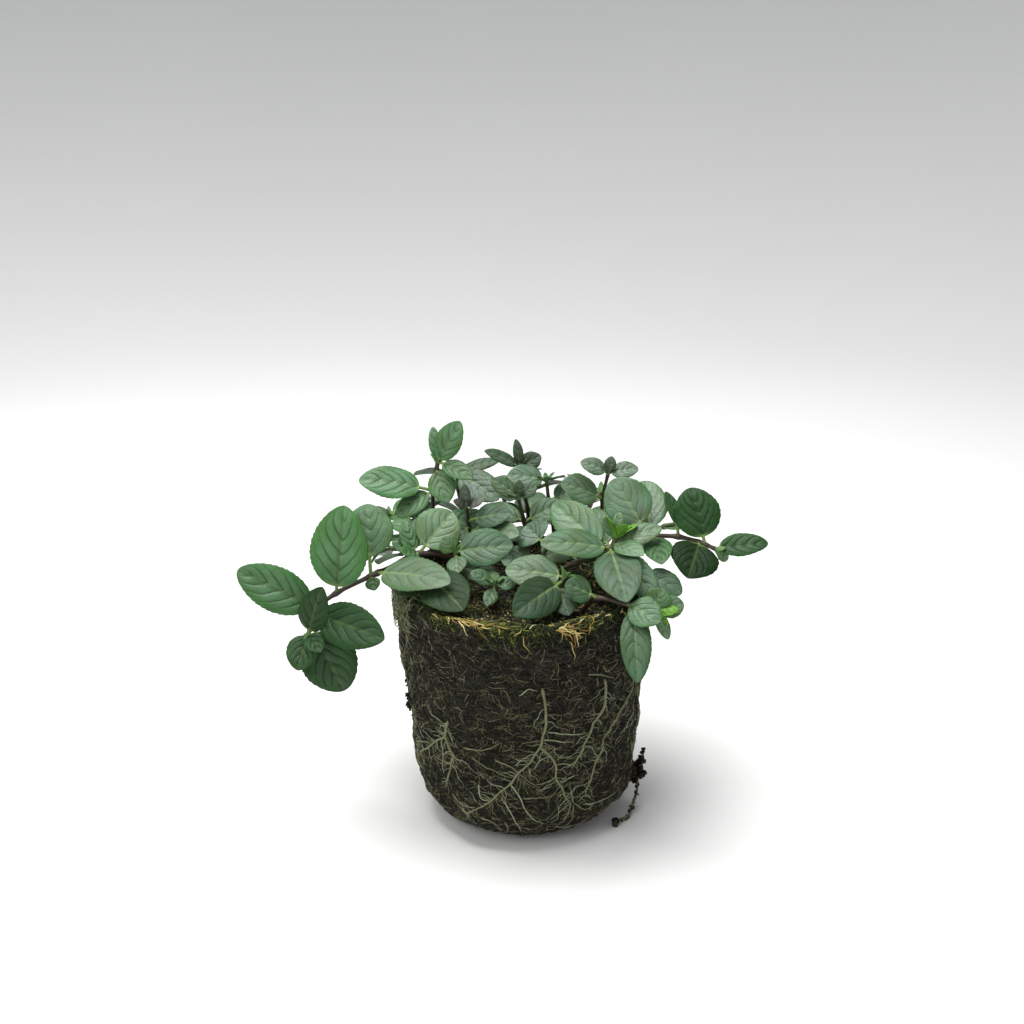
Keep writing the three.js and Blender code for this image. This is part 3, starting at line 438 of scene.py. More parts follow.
def leafPart(shape, quilt, **finish):
    # a leaf as one closed tube: rows along it, and in each row a loop over the top and back below.
    # The stalk's loop is an ellipse, the blade's is thin and wide, with teeth that point forward
    stalk, blade = shape["stalk"], shape["length"] - shape["stalk"]
    teeth = max(4, round(blade / leafForm["toothSpacing"]))
    columns = 15 if shape["wide"] > 12 else 11 if shape["wide"] > 7 else 7
    middle = np.linspace(0.055, 0.955, 4 * teeth + 1 if blade > 9 else 2 * teeth + 1)
    u = np.concatenate([np.linspace(-(stalk + 0.5) / blade, 0, 5), [0.004, 0.014, 0.032], middle,
                        [0.974, 0.99, 1]])[:, None]
    s = np.linspace(-1, 1, columns - 2)
    v = np.concatenate([[-1], leafForm["margin"] * np.sign(s) * np.abs(s) ** 1.2, [1]])
    level = np.concatenate([np.ones(columns), -np.ones(columns - 2)])
    v = np.concatenate([v, v[-2:0:-1]])[None]
    inStalk = np.clip(1 - u / 0.06, 0, 1)
    saw = (u * teeth) % 1
    cut = 1 + leafForm["tooth"] * (saw ** 0.8 - 0.5) * np.clip(u * 12, 0, 1)
    half = np.hypot(bladeHalf(shape["wide"], u) * cut, leafForm["stalkHalf"] * np.clip(1 - 0.7 * u, 0.3, 1.2))
    half = half * np.where(u > 0.999, 0.5, 1)
    x = half * v
    a = stalk + blade * u
    phase = veinPhase(shape, blade, u, v)
    gate = np.clip(2 + 2 * phase, 0, 1) * np.clip(8 * (0.97 - u), 0, 1) * (1 - np.abs(v) ** 4)
    puff = quilt * shape["wide"] / 16 * np.abs(np.sin(np.pi * phase)) ** 1.2 * gate * (1 - inStalk)
    groove = leafForm["groove"] * np.exp(-(x / 0.7) ** 2) * (1 - inStalk) * np.clip(1.1 - u, 0, 1)
    thick = leafForm["thick"] / 2 + (leafForm["stalkDepth"] - leafForm["thick"] / 2) * inStalk
    edge = np.sqrt(np.maximum(1 - np.abs(v) ** (2 + 8 * (1 - inStalk)), 0))
    rib = np.where(level < 0, 0.55 * np.clip(1 - u, 0, 1) * (1 - inStalk) * np.exp(-(x / 0.6) ** 2), 0)
    z = leafHeight(shape, a, x) + puff - groove + level * thick * edge - rib
    local = np.stack(np.broadcast_arrays(a, x, z), -1)
    rings = (shape["base"] + local @ shape["axes"])[None]
    under = (level < 0) * np.clip((1 - np.abs(v)) * 5, 0, 1)
    return closedTubes(rings, u=u, v=v, vein=phase, under=under, petiole=inStalk, **finish)


# stems: how thin they are between leaves and what they gain at a leaf, as shares of their thickness
stemForm = dict(thin=0.54, swell=0.26, swellReach=1.6, square=0.1, sides=12, rowLength=1.1, buried=8)


def stemPart(shoot, places, **finish):
    # square stem with rounded corners, a little swollen where leaves grow
    points = stemPoints(shoot)
    count = max(8, round(sum(np.linalg.norm(np.diff(points, axis=0), axis=-1)) / stemForm["rowLength"]))
    t = np.linspace(0, len(points) - 1, count)
    centres = np.vstack([[(*shoot["foot"], ball["height"] - stemForm["buried"])], along(points, t)])
    share = np.concatenate([[0], t / (len(points) - 1)])
    radius = shoot["thick"][0] + (shoot["thick"][1] - shoot["thick"][0]) * share
    gaps = np.linalg.norm(centres[:, None] - np.array(places)[None], axis=-1).min(1)
    swell = stemForm["swell"] * np.exp(-(gaps / stemForm["swellReach"]) ** 2)
    radius = radius * (stemForm["thin"] + swell) * np.where(share >= 1, 0.7, 1)
    rings = ringsAlong(centres[None], radius[None], (0, 1, 0), stemForm["sides"], square=stemForm["square"])
    return closedTubes(rings, material=1, share=share[None, :, None], **finish)


def budShapes(shoot, count, size, spread):
    # small leaves that stand around the stem's tip, in crossed pairs, the inner ones shorter
    points = along(stemPoints(shoot), [len(shoot["route"]) - 0.25, len(shoot["route"])])
    ahead = unit(points[1] - points[0])
    side = unit(np.cross(ahead, (0.31, 0.95, 0.1)))
    other = np.cross(ahead, side)
    for k in range(count):
        turn = math.pi * k + math.pi / 2 * (k // 2) + 0.5
        lean = spread * (1 - 0.4 * (k // 2) / max(1, count // 2))
        out = math.cos(turn) * side + math.sin(turn) * other
        direction = unit(math.cos(lean) * ahead + math.sin(lean) * out)
        up = unit(math.cos(lean) * -out + math.sin(lean) * ahead)
        length = size * (1 - 0.45 * (k // 2) / max(1, count // 2))
        yield dict(base=points[1] - ahead * 0.4, axes=np.stack([direction, np.cross(up, direction), up]),
                   length=length, wide=length * 0.52, stalk=0.6, phase=k * 1.7)


# strands and crumbs on the ball

def strands(azimuth, arc, heading, length, bend, thick, lift, rows, sides, wiggle=0.0, flat=1.0,
            material=0, **facts):
    # strands lying on the peat: each runs from its start on a heading that bends evenly and wiggles.
    # azimuth in radians, the rest in mm; thick and lift are given at start, middle and end
    s = np.linspace(0, 1, rows)
    phase = (azimuth * 97 + arc * 7)[:, None]
    turn = heading[:, None] + bend[:, None] * s + wiggle * np.sin(2 * np.pi * s * 1.7 + phase)
    step = (length / (rows - 1))[:, None]
    none = np.zeros((len(length), 1))
    run = np.concatenate([none, np.cumsum(np.cos(turn[:, :-1]), 1)], 1) * step
    rise = np.concatenate([none, np.cumsum(np.sin(turn[:, :-1]), 1)], 1) * step
    radius = np.linalg.norm(wallPlace(azimuth, arc)[0][..., :2], axis=-1)[:, None]
    way = np.maximum(arc[:, None] + rise, 0.6)
    places, out = onPeat(azimuth[:, None] + run / radius, way, np.interp(s, (0, 0.5, 1), lift)[None])
    width = np.interp(s, (0, 0.5, 1), thick)[None] * np.ones_like(run)
    facts = {key: np.broadcast_to(value, azimuth.shape)[:, None, None] for key, value in facts.items()}
    return closedTubes(ringsAlong(places, width, out, sides, flat=flat), material, **facts)


def scattered(count, seed, azimuths, arcs):
    # random azimuths, arcs and headings, and the generator that they were drawn from
    draw = np.random.default_rng(seed)
    return (np.radians(draw.uniform(*azimuths, count)), draw.uniform(*arcs, count),
            draw.uniform(0, 2 * np.pi, count), draw)


everywhere = (0, 360)


def threads(count, seed, azimuths, arcs, lengths, bend, thick, lift, rows, wiggle, tones, material=0,
            lying=0.0, even=False):
    # three-sided strands at random places, lengths and bends to both sides. lying turns them towards
    # the way round the ball; tones are the two powers of a beta draw, or a range to draw evenly from
    azimuth, arc, heading, draw = scattered(count, seed, azimuths, arcs)
    heading = heading - lying * np.sin(2 * heading)
    return strands(azimuth, arc, heading, draw.uniform(*lengths, count), draw.uniform(-bend, bend, count),
                   thick, lift, rows, 3, wiggle, material=material,
                   tone=draw.uniform(*tones, count) if even else draw.beta(*tones, count))


def crumbs(places, sizes, seed, material=0, rows=4, sides=5, **facts):
    # uneven lumps: spheres of a few rings, squashed and pushed about at random
    draw = np.random.default_rng(seed)
    polar = np.pi * (np.arange(rows) + 0.5) / rows
    turn = -2 * np.pi * np.arange(sides) / sides
    around, up = np.sin(polar)[:, None], -np.cos(polar)[:, None]
    sphere = np.stack(np.broadcast_arrays(around * np.cos(turn), around * np.sin(turn), up), -1)
    shape = sphere[None] * (1 + draw.uniform(-0.28, 0.28, (len(places), rows, sides, 1)))
    stretch = draw.uniform(0.65, 1.25, (len(places), 1, 1, 3))
    rings = np.asarray(places)[:, None, None] + shape * stretch * np.asarray(sizes)[:, None, None, None]
    facts = {key: np.broadcast_to(value, len(places))[:, None, None] for key, value in facts.items()}
    return closedTubes(rings, material, **facts)


# main roots: radius, what they lose of it on their way, tone and lift; then their side roots
roots = dict(main=0.5, taper=0.45, tone=0.52, sides=8, lift=(-0.1, 0.55, 0.45, -0.1),
             sideSpacing=1.2, sideThick=(0.18, 0.15, 0.09), sideLift=(0.35, 0.3, 0.0))


def rootParts(routes, order, spare):
    # each main root follows its route; side roots leave it left and right, bent forwards
    draw = np.random.default_rng(100 + order)
    parts = []
    for route in routes:
        way, t = wallRoute(route, 9)
        share = t / t[-1]
        wander = 0.35 * np.stack([np.sin(5.1 * t + order) / 45, np.cos(4.3 * t + 2 * order)], -1)
        way = way + wander * np.sin(np.pi * share)[:, None]
        lift = np.interp(share, (0, 0.1, 0.9, 1), roots["lift"])
        places, out = onPeat(way[None, :, 0], way[None, :, 1], lift[None])
        knots = 1 + 0.14 * np.sin(9 * t) * np.sin(3.7 * t + 1)
        radius = roots["main"] * (1.1 - roots["taper"] * share) * knots
        parts.append(closedTubes(ringsAlong(places, radius[None], out, roots["sides"]), tone=roots["tone"]))
        radial = wallRadius(wallPlace(way[:, 0], way[:, 1])[0][:, 2])
        plane = np.stack([np.unwrap(way[:, 0]) * radial.mean(), way[:, 1]], -1)
        heading = np.arctan2(*np.gradient(plane, axis=0).T[::-1])
        total = np.linalg.norm(np.diff(plane, axis=0), axis=-1).sum()
        count = int(total / roots["sideSpacing"] * spare)
        at = np.sort(draw.integers(2, len(t) - 1, count))
        side = np.where(np.arange(count) % 2, 1, -1)
        parts.append(strands(way[at, 0], way[at, 1], heading[at] + side * draw.uniform(0.8, 1.6, count),
                             draw.gamma(3.0, 1.9, count) + 1.5, side * draw.uniform(-1.4, 0.5, count),
                             roots["sideThick"], roots["sideLift"], 8, 4, wiggle=0.35,
                             tone=draw.uniform(0.4, 1, count)))
    return parts


def growRoot(row, order):
    # one root that drifts sideways on its way down, a little unsteadily
    name, azimuth, top, bottom, drift = row
    share = np.arange(6) / 5
    wander = 9 * (chance(order * 9 + np.arange(6)) - 0.5)
    return name, [list(zip(azimuth + drift * share + wander, top + (bottom - top) * share))]


# the lump's azimuth and height, its size, and two arms of root from it, with the spacing and relative
# size of the crumbs on each; then how many crumbs make the lump and the knob at the lower end
strand = dict(lump=(352, 15), size=(2.9, 3.4, 3.8), flats=0.75, gap=0.35, thick=0.55,
              arms=([(0, 0, 0), (2.2, -1, 5), (3.2, -1.2, 10)],
                    [(0, 0, 0), (0.3, -3, -6), (-0.8, -7, -11), (-3.8, -12, -13.5), (-8.2, -16.6, -13.6)]),
              spacing=(0.5, 0.8), crumb=(1.25, 0.9), lumpCrumbs=60, knob=(-9, -17.3, -13.2), knobCrumbs=14)


def strandParts():
    # a lump of peat on the wall, the root that holds it, and crumbs all along the root
    azimuth, height = math.radians(strand["lump"][0]), strand["lump"][1]
    radius = float(ballRadius(azimuth, height)) + strand["size"][0] - strand["flats"] + strand["gap"]
    centre = np.array([radius * math.cos(azimuth), radius * math.sin(azimuth), height])
    draw = np.random.default_rng(31)
    parts, places, sizes = [], [], []
    for arm, spacing, size in zip(strand["arms"], strand["spacing"], strand["crumb"]):
        t = np.linspace(0, len(arm) - 1, 40)
        line = centre + along(arm, t) + 0.35 * np.stack([np.sin(2.3 * t), np.cos(3.1 * t), np.sin(4 * t)], -1)
        width = strand["thick"] * (1 + 0.15 * np.sin(11 * t))
        parts.append(closedTubes(ringsAlong(line[None], width[None], (1, 0, 0.2), 6), tone=0.3))
        count = int(np.linalg.norm(np.diff(line, axis=0), axis=-1).sum() / spacing)
        spot = draw.integers(0, 40, count)
        places.append(line[spot] + draw.normal(0, 0.45, (count, 3)))
        sizes.append(draw.uniform(0.35, 0.85, count) * size)
    count = strand["lumpCrumbs"]
    places.append(centre + draw.normal(0, 1, (count, 3)) * np.array(strand["size"]) * 0.45)
    sizes.append(draw.uniform(0.6, 1.5, count))
    count = strand["knobCrumbs"]
    places.append(centre + strand["knob"] + draw.normal(0, 0.6, (count, 3)))
    sizes.append(draw.uniform(0.5, 1.1, count))
    places, sizes = np.concatenate(places), np.concatenate(sizes)
    places[:, 2] = np.maximum(places[:, 2], sizes * 1.25)
    parts.append(crumbs(places, sizes, 32, 1, 5, 7, tone=draw.uniform(0, 1, len(places))))
    return parts


# materials. Colours are sRGB, and pattern scales are per metre

def linear(text):
    # sRGB hex to linear: a straight foot, then a power of 2.4
    values = np.array([int(text[i:i + 2], 16) for i in (1, 3, 5)]) / 255
    return (*np.where(values <= 0.04045, values / 12.92, ((values + 0.055) / 1.055) ** 2.4), 1.0)


def addNode(tree, kind, inputs=(), **settings):
    # puts in a node and gives back its main output. Inputs come in socket order, or by socket
    node = tree.nodes.new("ShaderNode" + kind)
    if kind == "Mix":
        node.data_type = "RGBA"
    for key, value in settings.items():
        setattr(node, key, value)
    for key, value in inputs.items() if isinstance(inputs, dict) else enumerate(inputs):
        if isinstance(value, bpy.types.NodeSocket):
            tree.links.new(value, node.inputs[key])
        else:
            node.inputs[key].default_value = value
    return node.outputs[dict(Mix=2, TexCoord="Object", Attribute="Fac", TexNoise="Fac").get(kind, 0)]


def newMaterial(name, roughness, specular=0.5):
    # a material with its shader, for the functions below to build on
    material = bpy.data.materials.new(name)
    material.use_nodes = True
    shader = material.node_tree.nodes["Principled BSDF"]
    shader.inputs["Roughness"].default_value = roughness
    shader.inputs["Specular IOR Level"].default_value = specular
    return material, material.node_tree, shader


# the grey of the sheen painted on the puffed panels, and the greens of the shade painted in the sunken
# valleys, along the side veins and along the runners' midrib
leafTints = {name: linear(code) for name, code in dict(
    clump="#38633f", olive="#566636", runner="#336b27", young="#5d9128", purple="#4b3240", under="#7d957a",
    vein="#162b12", midrib="#8ea765", darkRib="#26421f", paintedSheen="#829184", valleyShade="#2c5230",
    deepValleyShade="#193d14", stalk="#76904d").items()}


def mintLeaf():
    # mint leaf: a thin waxy skin over quilted green tissue, so deep green under a soft grey gloss, with a
    # painted grey sheen on each puffed panel, painted shade in the deeper green valleys and on the fine dark
    # side veins, a midrib that is pale in the clump and on runners dark with painted shade, a darker rim of
    # painted shade, olive clouds, and a pale dull underside
    material, tree, shader = newMaterial("mintLeaf", 0.42)
    u, v, vein, tone, warm, vivid, gloss, young, purple, under, petiole = (
        addNode(tree, "Attribute", attribute_name=key) for key in (
            "u", "v", "vein", "tone", "warm", "vivid", "gloss", "young", "purple", "under", "petiole"))
    place = addNode(tree, "TexCoord")
    # the veins' sway over 6 mm, clouds of 8 mm, a fine grain, and the small net of veins at 1.1 mm
    sway, cloud, grain = (addNode(tree, "TexNoise", {"Vector": place, "Scale": scale, "Detail": detail})
                          for scale, detail in ((160.0, 1.0), (125.0, 3.0), (1500.0, 2.0)))
    net = addNode(tree, "TexVoronoi", {"Vector": place, "Scale": 900.0}, feature="DISTANCE_TO_EDGE")
    # how far from a whole vein count, where the side veins lie
    reach = addNode(tree, "Math", [v], operation="ABSOLUTE")
    sway = addNode(tree, "Math", (sway, 0.6, -0.3), operation="MULTIPLY_ADD")
    phase = addNode(tree, "Math", (sway, vein), operation="ADD")
    apart = addNode(tree, "Math", (phase, 0.5), operation="PINGPONG")
    # the veins fade towards the margin, the stalk and the tip; margin is the darker rim of the blade, painted
    # shade along the leaf's edge
    inside, started, unended, cloud, net, margin = (addNode(tree, "MapRange", row) for row in (
        (reach, 0.95, 0.5, 0.0, 1.0), (phase, -0.9, -0.5, 0.0, 1.0), (u, 0.95, 0.75, 0.0, 1.0),
        (cloud, 0.35, 0.7, 0.0, 1.0), (net, 0.0, 0.14, 0.0, 1.0), (reach, 0.93, 1.0, 1.0, 0.85)))
    line, valleyShade, furrow, panel, inner, middle = (
        addNode(tree, "MapRange", row, interpolation_type="SMOOTHSTEP") for row in (
            (apart, 0.0, 0.08, 1.0, 0.0), (apart, 0.0, 0.15, 1.0, 0.0), (apart, 0.0, 0.3, 1.0, 0.0),
            (apart, 0.04, 0.3, 0.7, 1.0), (reach, 1.0, 0.45, 0.0, 1.0), (reach, 0.02, 0.1, 1.0, 0.0)))
    # how strong these are, on the greyest leaf and on the freshest; among them the painted sheen and the
    # painted valley shade
    lasting, paintedSheen, sink, contrast, depth = (
        addNode(tree, "MapRange", (vivid, 0.0, 1.0, greyest, freshest)) for greyest, freshest in (
            (0.1, 0.75), (0.38, 0.2), (0.15, 0.7), (0.38, 0.6), (0.3, 0.7)))
    fading = addNode(tree, "MapRange", (u, 0.0, 0.6, 0.8, lasting))
    top, grown = (addNode(tree, "Math", (1.0, share), operation="SUBTRACT") for share in (under, young))
    olive, thin, shade = (addNode(tree, "Math", row, operation="MULTIPLY_ADD") for row in (
        (cloud, 0.7, warm), (cloud, -0.5, 1.0), (cloud, -0.2, 0.77)))
    olive = addNode(tree, "Math", (olive, -0.2), operation="ADD", use_clamp=True)
    # painted shade along the fine net's sunken lines, and a random grain
    for pattern, share in ((net, 0.08), (grain, 0.5)):
        shade = addNode(tree, "Math", (pattern, share, shade), operation="MULTIPLY_ADD")
    # tone makes it up to three times lighter or darker: the tones listed for the leaves paint shade on leaves
    # that lie in shade and light on lit ones; a small random part is the leaves' own tone
    lighter = addNode(tree, "Math", (3.0, tone), operation="POWER")
    products = []
    # masks for the side veins' painted shade, the valleys' painted shade, the furrow bump, the midrib, the
    # painted panel sheen, the lightness with the painted edge shade, and the pale underside
    for factors in ((line, inside, started, unended, contrast, top),
                    (valleyShade, inside, started, unended, sink, top, grown), (furrow, inside, started, unended),
                    (middle, fading), (paintedSheen, panel, inner, thin, grown, top), (lighter, shade, margin),
                    (under, grown, 0.75)):
        product = factors[0]
        for factor in factors[1:]:
            product = addNode(tree, "Math", (product, factor), operation="MULTIPLY")
        products.append(product)
    line, valleyShade, furrow, middle, paintedSheen, lighter, pale = products
    tint = leafTints
    valleyShadeTint, ribTint = (addNode(tree, "Mix", {0: vivid, 6: tint[greyest], 7: tint[freshest]})
                           for greyest, freshest in (("valleyShade", "deepValleyShade"), ("midrib", "darkRib")))
    colour = addNode(tree, "Mix", {0: olive, 6: tint["clump"], 7: tint["olive"]})
    # fresh, young and purple tints, then a grey sheen painted on the puffed panels and shade painted in the
    # sunken valleys
    for share, over in ((vivid, tint["runner"]), (young, tint["young"]), (purple, tint["purple"]),
                        (paintedSheen, tint["paintedSheen"]), (valleyShade, valleyShadeTint)):
        colour = addNode(tree, "Mix", {0: share, 6: colour, 7: over})
    colour = addNode(tree, "HueSaturation", {"Value": lighter, "Color": colour})
    # shade painted along the fine side veins and, on runners, along the sunken midrib; then the pale
    # underside and the stalk
    for share, over in ((line, tint["vein"]), (middle, ribTint), (pale, tint["under"]),
                        (petiole, tint["stalk"])):
        colour = addNode(tree, "Mix", {0: share, 6: colour, 7: over})
    # 0.12 mm deep net, and furrows 0.4 mm deep that show most on fresh leaves
    fine = addNode(tree, "Bump", {"Height": net, "Strength": 0.5, "Distance": 0.00012})
    deep = addNode(tree, "Bump", {"Height": furrow, "Strength": depth, "Distance": 0.0004, "Normal": fine},
                   invert=True)
    for value, socket in ((colour, "Base Color"), (gloss, "Specular IOR Level"), (deep, "Normal")):
        tree.links.new(value, shader.inputs[socket])
    return material


def mintStem():
    # mint stem: square, ribbed, purple-brown where the sun reaches it, greener near its tip
    material, tree, shader = newMaterial("mintStem", 0.5, 0.4)
    low, high, dark = linear("#3d2d26"), linear("#525c38"), linear("#241b1a")
    share, green = (addNode(tree, "Attribute", attribute_name=key) for key in ("share", "green"))
    grain = addNode(tree, "TexNoise", {"Vector": addNode(tree, "TexCoord"), "Scale": 420.0, "Detail": 4.0})
    towards = addNode(tree, "MapRange", (share, 0.2, 1.0, 0.0, 1.0))
    towards = addNode(tree, "Math", (towards, green), operation="MULTIPLY")
    streak = addNode(tree, "MapRange", (grain, 0.5, 0.75, 0.0, 0.6))
    colour = addNode(tree, "Mix", {0: towards, 6: low, 7: high})
    colour = addNode(tree, "Mix", {0: streak, 6: colour, 7: dark})
    bump = addNode(tree, "Bump", {"Height": grain, "Strength": 0.4, "Distance": 0.0002})
    tree.links.new(colour, shader.inputs["Base Color"])
    tree.links.new(bump, shader.inputs["Normal"])
    return material


def mattedPeat():
    # moist sphagnum peat pressed by a pot: nearly black crumbs with brown fibres, quite dull
    material, tree, shader = newMaterial("mattedPeat", 0.85, 0.25)
    deep, mid, light, pale, moss = (linear(code) for code in (
        "#080806", "#16160f", "#39362a", "#5f5b45", "#343a25"))
    place = addNode(tree, "TexCoord")
    top = addNode(tree, "Attribute", attribute_name="top")
    # patches of 9 mm, crumbs of 2 mm, grit of 0.6 mm
    patches = addNode(tree, "TexNoise", {"Vector": place, "Scale": 110.0, "Detail": 4.0})
    grit = addNode(tree, "TexNoise", {"Vector": place, "Scale": 520.0, "Detail": 8.0, "Roughness": 0.7,
                                      "Distortion": 1.2})
    shade, speck, green = (addNode(tree, "MapRange", row) for row in (
        (grit, 0.36, 0.66, 0.0, 1.0), (grit, 0.58, 0.78, 0.0, 0.8), (patches, 0.45, 0.6, 0.0, 0.7)))
    # fine fibres: curly lines where a noise passes its middle value, at two sizes
    curls = [addNode(tree, "TexNoise", {"Vector": place, "Scale": scale, "Detail": 2.0, "Distortion": 1.5})
             for scale in (260.0, 430.0)]
    lines = [addNode(tree, "Math", (curl, 0.5, 0.016), operation="COMPARE") for curl in curls]
    colour = addNode(tree, "Mix", {0: shade, 6: deep, 7: mid})
    for mask, where, over in ((speck, patches, light), (lines[0], patches, light), (lines[1], patches, pale),
                              (green, top, moss)):
        share = addNode(tree, "Math", (mask, where), operation="MULTIPLY")
        colour = addNode(tree, "Mix", {0: share, 6: colour, 7: over})
    bump = addNode(tree, "Bump", {"Height": grit, "Strength": 1.0, "Distance": 0.0006})
    tree.links.new(colour, shader.inputs["Base Color"])
    tree.links.new(bump, shader.inputs["Normal"])
    return material


def strandMaterial(name, tones, roughness, grain):
    # fibres, roots, moss and straw: one tone for each strand, on a scale from dark to light, and a
    # grain along it, given in mm
    material, tree, shader = newMaterial(name, roughness, 0.3)
    tone = addNode(tree, "Attribute", attribute_name="tone")
    noise = addNode(tree, "TexNoise", {"Vector": addNode(tree, "TexCoord"), "Scale": 1000 / grain,
                                       "Detail": 3.0})
    mixed = addNode(tree, "MapRange", (noise, 0.3, 0.7, -0.14, 0.14))
    mixed = addNode(tree, "Math", (mixed, tone), operation="ADD", use_clamp=True)
    scale = addNode(tree, "ValToRGB", [mixed])
    spots = scale.node.color_ramp.elements
    for spot in np.linspace(0, 1, len(tones))[1:-1]:
        spots.new(float(spot))
    for spot, colour in zip(spots, tones):
        spot.color = linear(colour)
    bump = addNode(tree, "Bump", {"Height": noise, "Strength": 0.5, "Distance": 0.0002})
    tree.links.new(scale, shader.inputs["Base Color"])
    tree.links.new(bump, shader.inputs["Normal"])
    return material


leafFinish, stemFinish, peatFinish = mintLeaf(), mintStem(), mattedPeat()
# peat fibres: dry sedge and moss stalks, dark brown to khaki
fibreFinish = strandMaterial("peatFibre", ("#0f0e0a", "#1e1d15", "#383526", "#605b44", "#928c6c"), 0.8, 1.0)
# living roots: cream to grey-olive, a little waxy
rootFinish = strandMaterial("livingRoot", ("#4a432c", "#5c5a3e", "#6a6c4c", "#7c8262", "#9da78c"), 0.6, 1.4)
# moss on the rim: yellow-green to dark green, matt
mossFinish = strandMaterial("rimMoss", ("#12170c", "#232b15", "#3f4a22", "#7c843c"), 0.85, 1.2)
# straw: dry split stalks, pale and faintly glossy
strawFinish = strandMaterial("dryStraw", ("#7d5d2e", "#a48c49", "#c6b472", "#e0d29c"), 0.6, 1.5)
# crumbs of peat: black-brown, matt
crumbFinish = strandMaterial("peatCrumb", ("#120f0b", "#221c14", "#3a3022"), 0.9, 0.6)
print("materials made")

# root ball

makePiece("peat_ball", [peatBall()], [peatFinish], ["root_ball"])

# long fibres of four points, and short straight ones, for each half of the wall; they lie along the
# ball rather than up it: count, lengths, thickness, lift and points
fibres = [(3900, (3, 9), (0.15, 0.24, 0.09), (0.0, 0.35, -0.1), 4),
          (5500, (1.2, 4), (0.16, 0.16, 0.1), (0.3, 0.3, 0.1), 2)]
for name, arcs, seed in (("peat_fibres_low", (1, wallArc / 2), 41),
                         ("peat_fibres_high", (wallArc / 2, wallArc - 2), 43)):
    parts = [threads(count, seed + order, everywhere, arcs, lengths, 1.8, thick, lift, rows, 0.3,
                     (0.8, 1.3), lying=0.35)
             for order, (count, lengths, thick, lift, rows) in enumerate(fibres)]
    makePiece(name, parts, [fibreFinish])

# roots

# main roots on the wall: routes of (azimuth in degrees, height in mm), the second a fork of the first
rootNetworks = [
    ("root_front_long", [
        [(278, 73), (280, 62), (279, 53), (277, 46), (272, 40), (265, 33), (257, 25), (246, 18), (240, 15)],
        [(278, 47), (284, 42), (286, 34), (290, 26), (294, 20)]]),
    ("root_front_inner", [[(308, 72), (308, 63), (304, 56), (300, 49), (297, 42), (294, 36)]]),
    ("root_front_outer", [[(336, 66), (326, 59), (317, 53), (312, 46), (308, 38), (305, 28), (303, 21)]]),
    ("root_left", [
        [(233, 54), (229, 46), (219, 39), (205, 30)],
        [(229, 46), (233, 39), (231, 31), (226, 22)]]),
]
# networks behind: name, azimuth, top height, bottom height, drift in degrees
grownRoots = [
    ("root_right", 8, 70, 22, -26), ("root_back_1", 40, 78, 20, 18), ("root_back_2", 98, 66, 17, -18),
    ("root_back_3", 122, 80, 24, 14), ("root_back_4", 180, 70, 18, -22),
]

# each network's routes, and how full its side roots are
networks = [(name, routes, 1.0) for name, routes in rootNetworks]
networks += [(*growRoot(row, order), 0.8) for order, row in enumerate(grownRoots)]
for order, (name, routes, spare) in enumerate(networks):
    makePiece(name + "_fine", rootParts(routes, order, spare), [rootFinish], [name])

# thin free roots that lie on the wall in front, as routes too
thinRoots = [
    [(241, 44), (249, 44), (259, 48)], [(244, 40), (252, 37), (259, 35), (263, 34)],
    [(256, 41), (263, 39), (269, 35), (277, 30)], [(263, 31), (268, 26), (271, 20), (277, 14), (285, 10)],
    [(232, 21), (238, 19), (247, 19)], [(247, 28), (249, 23), (254, 22)], [(248, 15), (254, 13), (259, 8)],
    [(259, 24), (263, 20), (267, 13), (269, 6)], [(270, 25), (277, 25), (286, 25)],
    [(280, 54), (289, 53), (300, 51)], [(279, 51), (286, 50), (293, 49)],
    [(284, 48), (285, 44), (290, 42), (294, 41)], [(295, 20), (291, 13), (287, 6)],
    [(296, 19), (295, 12), (290, 7)], [(295, 20), (289, 18), (284, 14)], [(296, 20), (295, 24), (294, 28)],
    [(302, 18), (313, 17), (325, 18)], [(296, 20), (302, 16), (306, 16)],
    [(299, 76), (304, 75), (309, 73), (314, 71)], [(307, 78), (309, 75), (313, 76), (316, 78)],
    [(268, 70), (272, 73), (276, 72)], [(201, 34), (215, 39), (220, 40)], [(226, 44), (227, 38), (227, 29)],
    [(231, 42), (234, 39), (232, 32)], [(204, 34), (207, 30), (210, 26)], [(199, 32), (202, 26), (204, 22)],
    [(201, 45), (211, 43), (213, 40)], [(220, 54), (226, 53), (232, 51)], [(293, 38), (289, 39), (285, 39)],
    [(296, 32), (291, 30), (288, 31)], [(286, 33), (281, 32), (276, 31)], [(284, 30), (279, 29), (276, 29)],
    [(288, 8), (298, 7), (307, 8)], [(261, 14), (262, 11), (261, 6)],
]
thinRoot = dict(radius=0.28, ends=0.6, lift=(0.0, 0.4, 0.35, 0.0), hanging=150, hairs=1000, matHairs=260)

draw = np.random.default_rng(51)
parts = []
for route in thinRoots:
    way, t = wallRoute(route, 7)
    share = t / t[-1]
    lift = np.interp(share, (0, 0.15, 0.85, 1), thinRoot["lift"])
    places, out = onPeat(way[None, :, 0], way[None, :, 1], lift[None])
    radius = thinRoot["radius"] * (1.1 - thinRoot["ends"] * share) * draw.uniform(0.7, 1.15)
    parts.append(closedTubes(ringsAlong(places, radius[None], out, 5), tone=draw.uniform(0.5, 1)))
# long ones that hang down the sides and the back
count = thinRoot["hanging"]
azimuth, arc, _, draw = scattered(count, 52, (-20, 195), (4, 84))
heading = -np.pi / 2 + draw.normal(0, 0.9, count)
parts.append(strands(azimuth, arc, heading, draw.uniform(8, 26, count), draw.uniform(-1, 1, count),
                     (0.28, 0.22, 0.12), (0.0, 0.35, 0.0), 16, 4, wiggle=0.3,
                     tone=draw.uniform(0.35, 0.95, count)))
